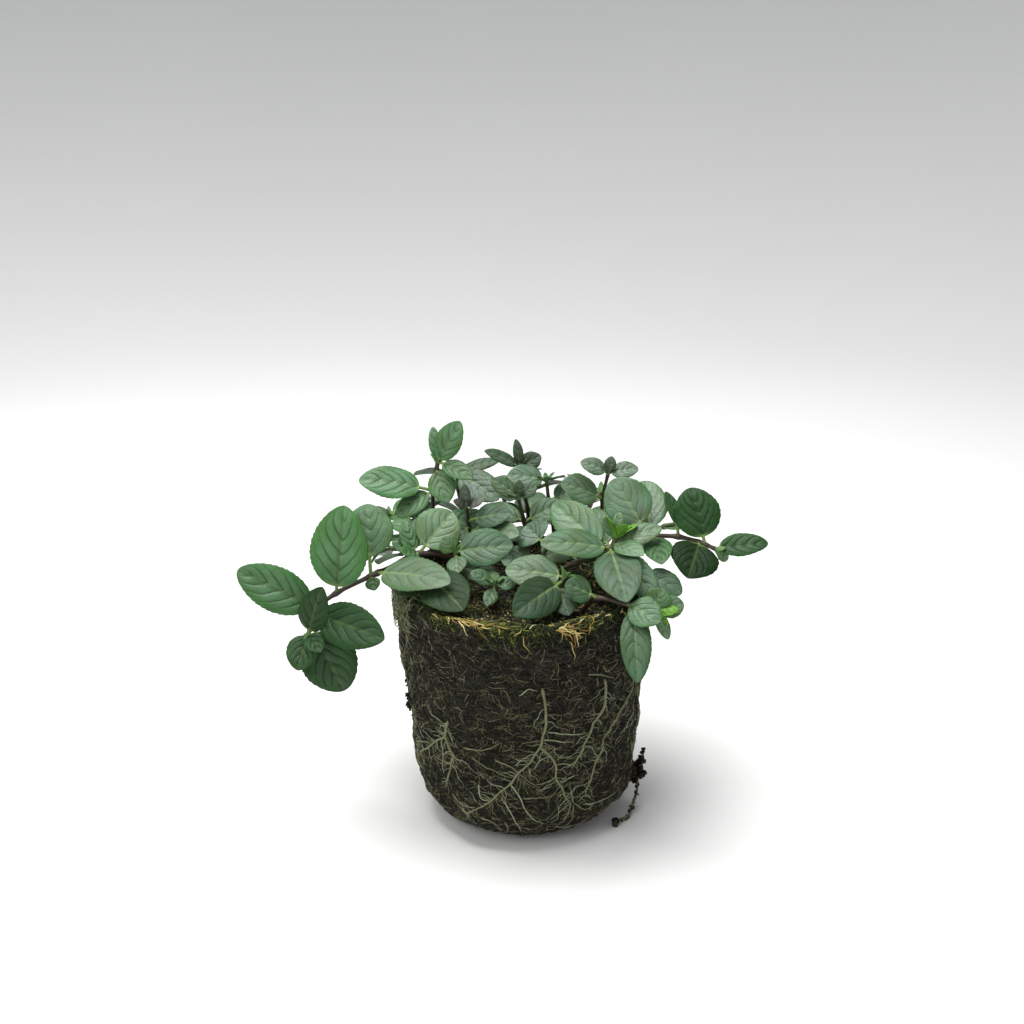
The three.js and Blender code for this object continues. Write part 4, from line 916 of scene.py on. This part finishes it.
# hair-thin ones all over, and a pale mat of them on the left
for hairs, seed, azimuths, arcs, tones in (("hairs", 53, everywhere, (2, 90), (0.1, 0.8)),
                                           ("matHairs", 54, (184, 206), (14, 100), (0.3, 1.0))):
    parts.append(threads(thinRoot[hairs], seed, azimuths, arcs, (2, 8), 2, (0.16, 0.13, 0.07),
                         (0.0, 0.35, 0.0), 6, 0.4, tones, even=True))
makePiece("thin_roots", parts, [rootFinish])

makePiece("loose_strand_fine", strandParts(), [rootFinish, crumbFinish],
          ["loose_root_strand"])

# rim and soil

# moss, thick in patches: count, spread about the rim, patch size, how it thins out, and its tone;
# and the fringe's count
moss = dict(count=3400, spread=3.4, patch=9, threshold=-0.65, raggedness=0.5, tone=0.36, fringe=330)
azimuth, _, heading, draw = scattered(moss["count"], 61, everywhere, (wallArc - 11, wallArc + 8))
arc = wallArc - 0.5 + draw.normal(0, moss["spread"], moss["count"])
patch = softNoise(np.stack([np.cos(azimuth) * 50, np.sin(azimuth) * 50, arc], -1), moss["patch"], 62)
keep = patch > moss["threshold"] + moss["raggedness"] * draw.random(moss["count"])
azimuth, arc, heading, patch = azimuth[keep], arc[keep], heading[keep], patch[keep]
count = len(azimuth)
parts = [strands(azimuth, arc, heading, draw.uniform(1.4, 4.5, count), draw.uniform(-1.6, 1.6, count),
                 (0.12, 0.16, 0.06), (0.1, 0.5, 0.5), 4, 3, wiggle=0.4,
                 tone=np.clip(moss["tone"] + 0.5 * patch + draw.normal(0, 0.2, count), 0, 1))]
# brighter sprigs in the front and at the back: centre azimuth, spread, count
for number, (centre, spread, count) in enumerate([(259, 8, 60), (236, 7, 18), (300, 9, 24), (100, 60, 90)]):
    draw = np.random.default_rng(64 + number)
    azimuth = np.radians(draw.normal(centre, spread, count))
    parts.append(strands(azimuth, wallArc - 1.5 + draw.normal(0, 1.7, count), draw.normal(0.2, 0.7, count),
                         draw.uniform(1.2, 4.2, count), draw.uniform(-1, 1, count), (0.14, 0.19, 0.07),
                         (0.4, 0.8, 0.7), 5, 4, wiggle=0.2, tone=draw.uniform(0.45, 1, count)))
# brighter tufts of moss in front, and one at the back
for number, (centre, spread, count) in enumerate([(250, 3, 18), (261, 3, 34), (297, 4, 22), (100, 6, 40)]):
    draw = np.random.default_rng(95 + number)
    azimuth = np.radians(draw.normal(centre, spread, count))
    parts.append(strands(azimuth, wallArc - 0.5 + draw.normal(0, 2, count), draw.normal(0, 0.35, count),
                         draw.uniform(1.5, 4.5, count), draw.normal(0, 0.5, count), (0.15, 0.2, 0.07),
                         (0.4, 0.9, 0.7), 6, 3, wiggle=0.2, tone=draw.uniform(0.3, 1.3, count)))
# a grey fringe of rootlets that stands off the rim on the left
parts.append(threads(moss["fringe"], 93, (176, 212), (wallArc - 14, wallArc + 3), (3, 8), 1.5,
                     (0.16, 0.18, 0.08), (0.2, 1.9, 0.8), 7, 0.4, (0.2, 1), 1, even=True))
makePiece("rim_moss", parts, [mossFinish, rootFinish])

# straw: centre azimuth, spread, count, how far it hangs inwards or out, and heading. Small spreads are
# clumps, thickest in the middle, and wide ones are even
clumps = [(238, 3, 16, 11, -0.4), (246, 3.5, 12, 6, -0.3), (257, 4, 6, 0, 0), (286, 1.5, 12, -1, -0.2),
          (289, 1.5, 12, -6, -0.9), (300, 4, 14, 5, 0.2), (12, 4, 14, 1, -0.3), (150, 6, 14, 0, 0.3),
          (75, 5, 12, -3, -0.5), (270, 95, 34, -2, 0), (90, 90, 34, -2, 0)]
parts = []
for number, (centre, spread, count, hang, way) in enumerate(clumps):
    draw = np.random.default_rng(70 + number)
    azimuth = np.radians(draw.normal(centre, spread, count) if spread < 50 else
                         centre + draw.uniform(-spread, spread, count))
    arc = wallArc - 1 + hang * draw.random(count) + draw.normal(0, 0.7, count)
    heading = np.where(draw.random(count) < 0.85, draw.normal(way, 0.25, count),
                       draw.normal(-1.2, 0.6, count))
    parts.append(strands(azimuth, arc, heading, draw.uniform(2, 8, count), draw.normal(0, 0.7, count),
                         (0.17, 0.22, 0.07), (0.6, 1, 0.7), 9, 4, wiggle=0.25, flat=0.5,
                         tone=draw.uniform(0, 1, count)))
makePiece("rim_straw", parts, [strawFinish])

# how many of each: the soil's fibres, moss, crumbs and pale grit, and crumbs on the wall at the left
soil = dict(fibres=2000, moss=2600, crumbs=750, grit=700, wallCrumbs=26)
parts = [threads(soil["fibres"], 81, everywhere, (wallArc + 5, wallArc + 50), (1.5, 5), 1.5,
                 (0.12, 0.17, 0.08), (0.2, 0.5, 0.2), 4, 0.3, (1.5, 1), 1),
         threads(soil["moss"], 89, everywhere, (wallArc + 3, wallArc + 30), (1, 3), 2,
                 (0.15, 0.22, 0.1), (0.3, 0.7, 0.6), 4, 0.4, (1.3, 1), 2)]
count = soil["crumbs"]
azimuth, arc, _, draw = scattered(count, 82, everywhere, (wallArc + 2, wallArc + 50))
places, _ = onPeat(azimuth, arc, draw.uniform(0, 0.5, count))
parts.append(crumbs(places, draw.gamma(3, 0.16, count) + 0.2, 83, tone=draw.uniform(0, 1, count)))
count = soil["grit"]
azimuth, arc, _, draw = scattered(count, 90, everywhere, (wallArc + 1, wallArc + 22))
places, _ = onPeat(azimuth, arc, draw.uniform(0.3, 0.7, count))
parts.append(crumbs(places, draw.uniform(0.18, 0.5, count), 91, 3, 3, 4, tone=draw.uniform(0, 1, count)))
count = soil["wallCrumbs"]
azimuth = np.radians(np.random.default_rng(84).normal(197, 3, count))
arc = arcOf(np.random.default_rng(85).normal(52, 4, count))
places, _ = onPeat(azimuth, arc, np.random.default_rng(86).uniform(0.3, 1.6, count))
parts.append(crumbs(places, np.random.default_rng(87).uniform(0.4, 0.9, count), 88, tone=0.4))
makePiece("soil_crumbs", parts, [crumbFinish, fibreFinish, mossFinish, strawFinish])
print("root ball dressed")

# leafy stems

# the way a leaf's upper side faces
viewer, front, back = (0, -0.65, 0.76), (0, -0.9, 0.45), (0, 0.5, 0.87)


def leaf(at, tip, wide, stalk=2.5, face=viewer, tone=0.0, fresh=1.0):
    # one row of a stem's leaves
    return dict(at=at, tip=tip, wide=wide, stalk=stalk, face=face, tone=tone, fresh=fresh)


# stems that show in front: foot where the stem leaves the soil, thick at the soil and at the tip,
# route, and leaves with the route point they grow from, their tip, width, stalk length, facing,
# tone from -1, dark, to 1, light, which is painted shade on leaves that lie in shade and painted light
# on lit ones, and how much of their stem's freshness they have
shoots = [
    dict(name="left_runner", foot=(-19, 3), thick=(2.1, 1.3), route=[
        (-27, -2, 106), (-41, -5, 109), (-52, -8, 104.5), (-59, -12, 102.5), (-72, -16, 97),
        (-79, -20, 92), (-82, -24, 84)],
        leaves=[
        leaf(1, (-29, 6, 123), 18.5, 4, front, 0.35, 0.2), leaf(1, (-52, -3, 112), 8, 2),
        leaf(1.1, (-50, 3, 115), 8, 2), leaf(1, (-47, -13, 112), 8, 1.5),
        leaf(2.7, (-26, -31, 104), 16, 4, viewer, 0.05, 0.1),
        leaf(3, (-60, -2, 128.5), 19.5, 8, front, 0.25, 0.4),
        leaf(3, (-57, -18, 99), 6, 1.5, front, -0.5), leaf(4, (-68, -13, 131.5), 22, 3, front, 0.3),
        leaf(5.2, (-52, -35, 86), 17, 3, front, -0.7), leaf(6, (-74, -31, 105), 12, 2, front, -0.9),
        leaf(5, (-109, -18, 107), 17, 3, front, 0.2), leaf(5.6, (-69, -29, 61.5), 21.5, 4, front, -0.7),
        leaf(6, (-85, -34, 73), 12.5, 1.5, front, -0.4), leaf(6, (-76, -32, 79), 8, 1.5, front, -0.4)]),
    dict(name="left_upright_shoot", foot=(-34, 24), thick=(1.9, 1.2), route=[
        (-35, 24, 106), (-37, 20, 120), (-36, 19, 131), (-34.5, 18, 139.5)],
        leaves=[
        leaf(0, (-55, 33, 110), 12), leaf(0.3, (-14, 30, 112), 12), leaf(1.6, (-66, 15, 132), 15, 6),
        leaf(1.6, (-51, 10, 120), 10), leaf(2.6, (-30, 9, 125), 11, 1.5, front),
        leaf(3, (-24, 18, 155.5), 11, 1.5, front), leaf(3, (-35.5, 20, 153.5), 5, 1.5, front),
        leaf(3, (-20, 9, 138), 8.5, 3)]),
    dict(name="left_back_shoot", foot=(-22, 35.5), thick=(1.9, 1.2), route=[
        (-23, 35.5, 106), (-27, 35, 120), (-28, 33, 130)],
        leaves=[
        leaf(2, (-9, 22, 124), 14.5, 3), leaf(2, (-9.5, 36, 132), 6, 2, viewer, -0.5),
        leaf(2, (-46, 40, 127), 11, 3, back), leaf(1.4, (-33, 55, 120), 12, 3, back),
        leaf(0.2, (-44, 52, 108), 12, 3, back)]),
    dict(name="purple_young_shoot", foot=(-19, 13), thick=(1.6, 1.1), route=[
        (-20, 13, 106), (-22, 11, 114.5), (-23, 10, 123.5)],
        leaves=[
        leaf(2, (-27.5, 7, 129.5), 4, 1), leaf(2, (-18.5, 8, 129.5), 4, 1),
        leaf(2, (-23, 8, 132.5), 4.5, 1, front), leaf(1, (-28, 0, 114), 8, 3),
        leaf(1.3, (-5, 5, 122), 12, 4, viewer, -0.5), leaf(0.8, (-2, -2, 116), 12, 3)]),
    dict(name="centre_left_shoot", foot=(-25, -11), thick=(1.6, 1.1), route=[
        (-25, -10, 104), (-26.5, -9, 111.5)],
        leaves=[
        leaf(1, (-4, -12, 113), 15, 2, front, 0.15), leaf(1, (-31, -10, 118), 8, 1, front, 0.3),
        leaf(0.8, (-24, -19, 108), 8, 1.5, front), leaf(0.2, (-10, -14, 103), 9, 2)]),
    dict(name="centre_back_shoot", foot=(1, 18), thick=(1.7, 1.1), route=[
        (1, 18, 106), (0, 16, 115), (-2.5, 14, 126)],
        leaves=[
        leaf(2, (-13, 17, 133.5), 7.5, 1, viewer, -0.4), leaf(2, (4, 16, 131.5), 6.5, 1, viewer, -0.5),
        leaf(2, (-2, 12, 134), 4, 1, front), leaf(1, (-16, 24, 119), 10),
        leaf(1, (16, 20, 123), 11, 3), leaf(0, (-8, 30, 108), 11)]),
    dict(name="back_shoot", foot=(2, 41), thick=(1.8, 1.1), route=[
        (2, 41, 108), (0, 38, 120), (-2, 36, 132)],
        leaves=[
        leaf(2, (-15, 32, 142), 6, 2, viewer, -0.3), leaf(2, (-5, 35, 144), 4.5, 1),
        leaf(2, (6, 36, 138), 8, 1, front, -0.4), leaf(1, (-14, 50, 120), 12, 3, back),
        leaf(1, (17, 46, 122), 12, 3, back), leaf(0, (4, 62, 108), 14, 3, back),
        leaf(0.3, (-12, 34, 111), 12, 3)]),
    dict(name="right_back_shoot", foot=(13, 31), thick=(1.7, 1.1), route=[
        (12, 30, 108), (10, 28, 120), (9, 27, 129)],
        leaves=[
        leaf(2, (-7, 25, 131.5), 12, 2), leaf(2, (16.5, 35, 128), 6, 2, back, -0.3),
        leaf(1, (24, 38, 121), 11, 3)]),
    dict(name="rosette_shoot", foot=(11, -12), thick=(1.9, 1.3), route=[
        (14, -12, 105), (24, -12, 110), (33, -9, 113), (35, -8, 117)],
        leaves=[
        leaf(2, (6, -19, 112.5), 13.5, 3), leaf(1.8, (11, 14, 121), 16, 4, front, 0.3),
        leaf(2, (24, 14, 122), 15, 3, front), leaf(2.3, (54, -5, 115), 10, 2),
        leaf(2.4, (46, -18, 110.5), 9, 1.5), leaf(3, (36, -3, 126), 5, 1), leaf(3, (31, -5, 125), 5, 1),
        leaf(2, (38.5, -36, 99), 18, 3, front, -0.55), leaf(1.8, (50.5, -25, 99.5), 14, 4, viewer, -0.2),
        leaf(0.6, (24, -2, 105), 11, 3)]),
    dict(name="centre_shoot", foot=(4, 1), thick=(1.6, 1.1), route=[
        (6, 0, 104), (9, -2, 111)],
        leaves=[
        leaf(1, (1, 6, 117.5), 15, 4, front), leaf(1, (22, 5, 112), 12, 3),
        leaf(0, (-9, -4, 106), 13, 3), leaf(0, (17, 13, 105), 12, 3)]),
    dict(name="front_shoot", foot=(11, -26), thick=(1.6, 1.2), route=[
        (12, -26, 102), (15, -24, 107)],
        leaves=[
        leaf(1, (-7, -24, 110.5), 15, 2), leaf(0.7, (-4, -45, 99), 15.5, 4, front, -0.9),
        leaf(0.3, (17, -39, 100), 10, 2, front, -0.8)]),
    dict(name="front_right_shoot", foot=(22, -28), thick=(1.7, 1.2), route=[
        (27, -31, 101.5), (36, -34, 101), (44, -33, 99.5), (49, -32.5, 97.5)],
        leaves=[
        leaf(0, (14, -32, 105), 12, 3, viewer, -0.7), leaf(1.2, (49, -41, 94), 12.5, 2, front),
        leaf(2.8, (51.5, -30, 105), 10.5, 1, front), leaf(3, (59.5, -31, 97.5), 9, 1, front),
        leaf(3, (55, -37, 88.5), 5, 1, front), leaf(1.5, (40.5, -55, 79.5), 11.5, 3, front, -0.3)]),
    dict(name="right_runner", foot=(36, 4), thick=(2, 1.2), route=[
        (40, 3, 106), (49, 0, 114), (57, 0, 115), (64, -2, 114.5), (70, -4, 113), (74, -5, 111.5)],
        leaves=[
        leaf(1, (31.5, 10, 132.5), 19, 7, front, 0.45, 0.1), leaf(1, (49, 24, 130), 16, 5, front, 0.4, 0.1),
        leaf(1.2, (51, -17, 108), 11, 2, front), leaf(2.4, (56, 13, 129), 8, 5, back, -0.5),
        leaf(3.6, (60, -17, 104), 19, 1.5, front, -1.4), leaf(4, (64.5, 7, 132.5), 18, 3, front, -0.6, 1.2),
        leaf(5, (94, -6, 114), 10, 1.5, viewer, -0.3, 1.2), leaf(5, (80, -1, 106), 5, 1, front)]),
    dict(name="right_upright_shoot", foot=(31, 29), thick=(1.7, 1.1), route=[
        (32, 30, 108), (32, 28, 121), (34, 28, 132)],
        leaves=[
        leaf(2, (23, 29, 137), 8, 1.5), leaf(2, (46, 27, 135), 8, 1.5),
        leaf(2, (36, 28, 139), 5, 1, front), leaf(1, (14, 24, 127), 14.5, 3),
        leaf(1, (50, 35, 122), 12, 3), leaf(0, (34, 50, 110), 13, 3, back),
        leaf(0.2, (20, 22, 107), 11, 3)]),
    dict(name="front_left_shoot", foot=(-11, -24), thick=(1.4, 1), route=[
        (-11, -24, 101), (-11, -24, 104)],
        leaves=[
        leaf(1, (-21, -25, 107), 6.5, 1.5), leaf(1, (-3, -24, 104.5), 6, 1.5),
        leaf(0.5, (-14, -33, 99), 5.5, 1.5, front), leaf(0.5, (-13, -15, 107), 6, 1.5)]),
    dict(name="rim_left_shoot", foot=(-36, -14), thick=(1.5, 1.1), route=[
        (-37, -16, 102), (-37, -18, 105)],
        leaves=[
        leaf(1, (-22, -39, 99.5), 18.5, 3, viewer, -1, 2.5), leaf(0.2, (-48, -25, 100), 9, 3, viewer, -0.7)]),
    dict(name="rim_right_shoot", foot=(40, -15), thick=(1.5, 1.1), route=[
        (41, -16, 102), (45, -16, 106)],
        leaves=[
        leaf(1, (61, -21, 104), 11, 2), leaf(0.7, (35, -3, 106), 9, 3)]),
]

# stems behind, out of the front view: name, foot, lean azimuth, reach, height of the tip, longest leaf
grownShoots = [
    ("back_right_runner", (43, 19), 22, 24, 111, 21),
    ("back_low_shoot_1", (23.5, 41), 62, 20, 114, 26),
    ("back_low_shoot_2", (-8, 46.5), 95, 15, 117, 26),
    ("back_left_runner", (-38, 28.5), 140, 24, 108, 25),
    ("left_low_shoot", (-45, 8), 172, 14, 104, 21),
]

allShoots = shoots + [growShoot(row, order) for order, row in enumerate(grownShoots)]
leaves = settleLeaves(allShoots)
stemSpots = [along(stemPoints(shoot), np.arange(3 * len(shoot["route"]) + 1) / 3) for shoot in allShoots]
clearEachOther(leaves, np.concatenate(stemSpots),
               np.repeat(np.arange(len(allShoots)), [len(spots) for spots in stemSpots]))
print("leaves turned clear of each other")

# finish of a stem's leaves: vivid from grey-green clump to fresh runner, and tone from dark to light;
# its bud: leaf count, size, spread, how bright, how purple; and how green the stem is near its tip
plain = dict(vivid=0.15, tone=0.0, bud=(4, 5, 0.8), bright=0.5, purple=0.0, green=1.0)
finishes = dict(
    left_runner=dict(plain, vivid=0.8, tone=-0.1, bud=(4, 5.5, 0.7), bright=0.25, green=0.25),
    left_upright_shoot=dict(plain, vivid=0.6, green=0.3),
    purple_young_shoot=dict(plain, bright=0.0, purple=0.9, green=0.0),
    back_shoot=dict(plain, bright=0.0, purple=0.4, green=0.2),
    right_back_shoot=dict(plain, bright=0.1),
    centre_back_shoot=dict(plain, vivid=0.35, purple=0.3, bright=0.0, green=0.3),
    rosette_shoot=dict(plain, vivid=0.2, tone=0.1, bud=(8, 10.5, 0.75), bright=1.0),
    front_right_shoot=dict(plain, vivid=0.35, bud=(7, 9, 0.8), bright=1.0, green=0.4),
    right_runner=dict(plain, vivid=0.85, tone=-0.15, green=0.2),
    right_upright_shoot=dict(plain, purple=0.5, bright=0.0, green=0.1),
    back_right_runner=dict(plain, vivid=0.7), back_left_runner=dict(plain, vivid=0.7),
    front_left_shoot=dict(plain, vivid=0.4, tone=-0.2, bright=0.3),
)
tones, freshness = ([entry[key] for shoot in allShoots for entry in shoot["leaves"]]
                    for key in ("tone", "fresh"))
for home, shoot in enumerate(allShoots):
    finish = finishes.get(shoot["name"], plain)
    own = np.flatnonzero(leaves["home"] == home)
    parts = [stemPart(shoot, leaves["base"][own], green=finish["green"])]
    for k in own:
        shape = {key: leaves[key][k] for key in ("base", "axes", "length", "wide", "stalk", "phase")}
        small = max(0.0, 1 - shape["length"] / 12)
        vivid = finish["vivid"] * freshness[k]
        # a leaf's listed tone below 0, painted shade, also dulls its gloss
        gloss = (0.6 - 0.3 * vivid) * (1 + 0.7 * np.clip(tones[k], -1, 0))
        parts.append(leafPart(shape, 0.05 + 0.35 * vivid, vivid=vivid, gloss=gloss,
                              tone=finish["tone"] + tones[k] + 0.4 * (chance(k + 0.77) - 0.5),
                              warm=0.5 * chance(k + 0.31), young=small * 0.6 * finish["bright"],
                              purple=np.clip(1.7 - shape["length"] / 8, 0, 1) * finish["purple"]))
    for shape in budShapes(shoot, *finish["bud"]):
        parts.append(leafPart(shape, 0.2, vivid=0.5, gloss=0.4, tone=0.1, warm=0.3,
                              young=finish["bright"], purple=finish["purple"]))
    makePiece(shoot["name"] + "_leaves", parts, [leafFinish, stemFinish], [shoot["name"]])

# stage

# a paper sweep: flat round the plant, then rising as it runs out
studio = dict(floor=("#f3f3f1", "#f7f7f5"), flat=0.9, reach=3.4, rise=0.35, around=96,
              sky="#f4f7fb", skyLight=0.33)
radius = np.concatenate([np.linspace(0.02, studio["flat"], 12),
                         np.linspace(studio["flat"], studio["reach"], 30)[1:]])[:, None]
around = studio["around"]
angle = 2 * np.pi * np.arange(around) / around
height = studio["rise"] * np.maximum(radius - studio["flat"], 0) ** 2
points = np.stack(np.broadcast_arrays(radius * np.cos(angle), radius * np.sin(angle), height), -1)
row, side = np.arange(len(radius) - 1)[:, None] * around, np.arange(around)
after = (side + 1) % around
quads = np.stack([row + side, row + around + side, row + around + after, row + after], -1)
floorMesh = bpy.data.meshes.new("floor")
faces = quads.reshape(-1, 4).tolist() + [list(range(around))]
floorMesh.from_pydata(points.reshape(-1, 3).tolist(), [], faces)
floorMesh.shade_smooth()
floor = bpy.data.objects.new("floor", floorMesh)
bpy.context.scene.collection.objects.link(floor)
# painted paper sweep: pale, matt, with a faint unevenness
floorFinish, tree, shader = newMaterial("paperSweep", 0.9, 0.2)
cloud = addNode(tree, "TexNoise", {"Vector": addNode(tree, "TexCoord"), "Scale": 3.0})
tint = addNode(tree, "Mix", {0: cloud, 6: linear(studio["floor"][0]), 7: linear(studio["floor"][1])})
tree.links.new(tint, shader.inputs["Base Color"])
floorMesh.materials.append(floorFinish)

world = bpy.data.worlds.new("studio")
world.use_nodes = True
sky = world.node_tree.nodes["Background"].inputs
sky["Color"].default_value, sky["Strength"].default_value = linear(studio["sky"]), studio["skyLight"]
bpy.context.scene.world = world
bpy.context.scene.view_settings.view_transform = "Standard"

# softboxes: place, size and power
lamps = [("top", (-0.15, 0.1, 1.25), 0.8, 18.0), ("key", (-0.7, -0.75, 0.95), 0.8, 5.5)]
target = (0, 0, 0.08)
for name, place, size, power in lamps:
    light = bpy.data.lights.new(name, "AREA")
    light.energy, light.size, light.shape = power, size, "SQUARE"
    lamp = bpy.data.objects.new(name, light)
    lamp.location = place
    aim = np.array(target) - place
    lamp.rotation_euler = (math.atan2(math.hypot(aim[0], aim[1]), -aim[2]), 0, math.atan2(-aim[0], aim[1]))
    bpy.context.scene.collection.objects.link(lamp)

# the photograph's viewing angle: place in metres, degrees down and round, lens in mm
camera = dict(place=(0, -0.4743, 0.2855), down=18.73, turn=0.58, lens=45.39, sensor=36)
lens = bpy.data.cameras.new("camera")
lens.lens, lens.sensor_width = camera["lens"], camera["sensor"]
eye = bpy.data.objects.new("camera", lens)
eye.location = camera["place"]
eye.rotation_euler = (math.radians(90 - camera["down"]), 0, math.radians(camera["turn"]))
bpy.context.scene.collection.objects.link(eye)
bpy.context.scene.camera = eye

print("triangles in all:", sum(made))
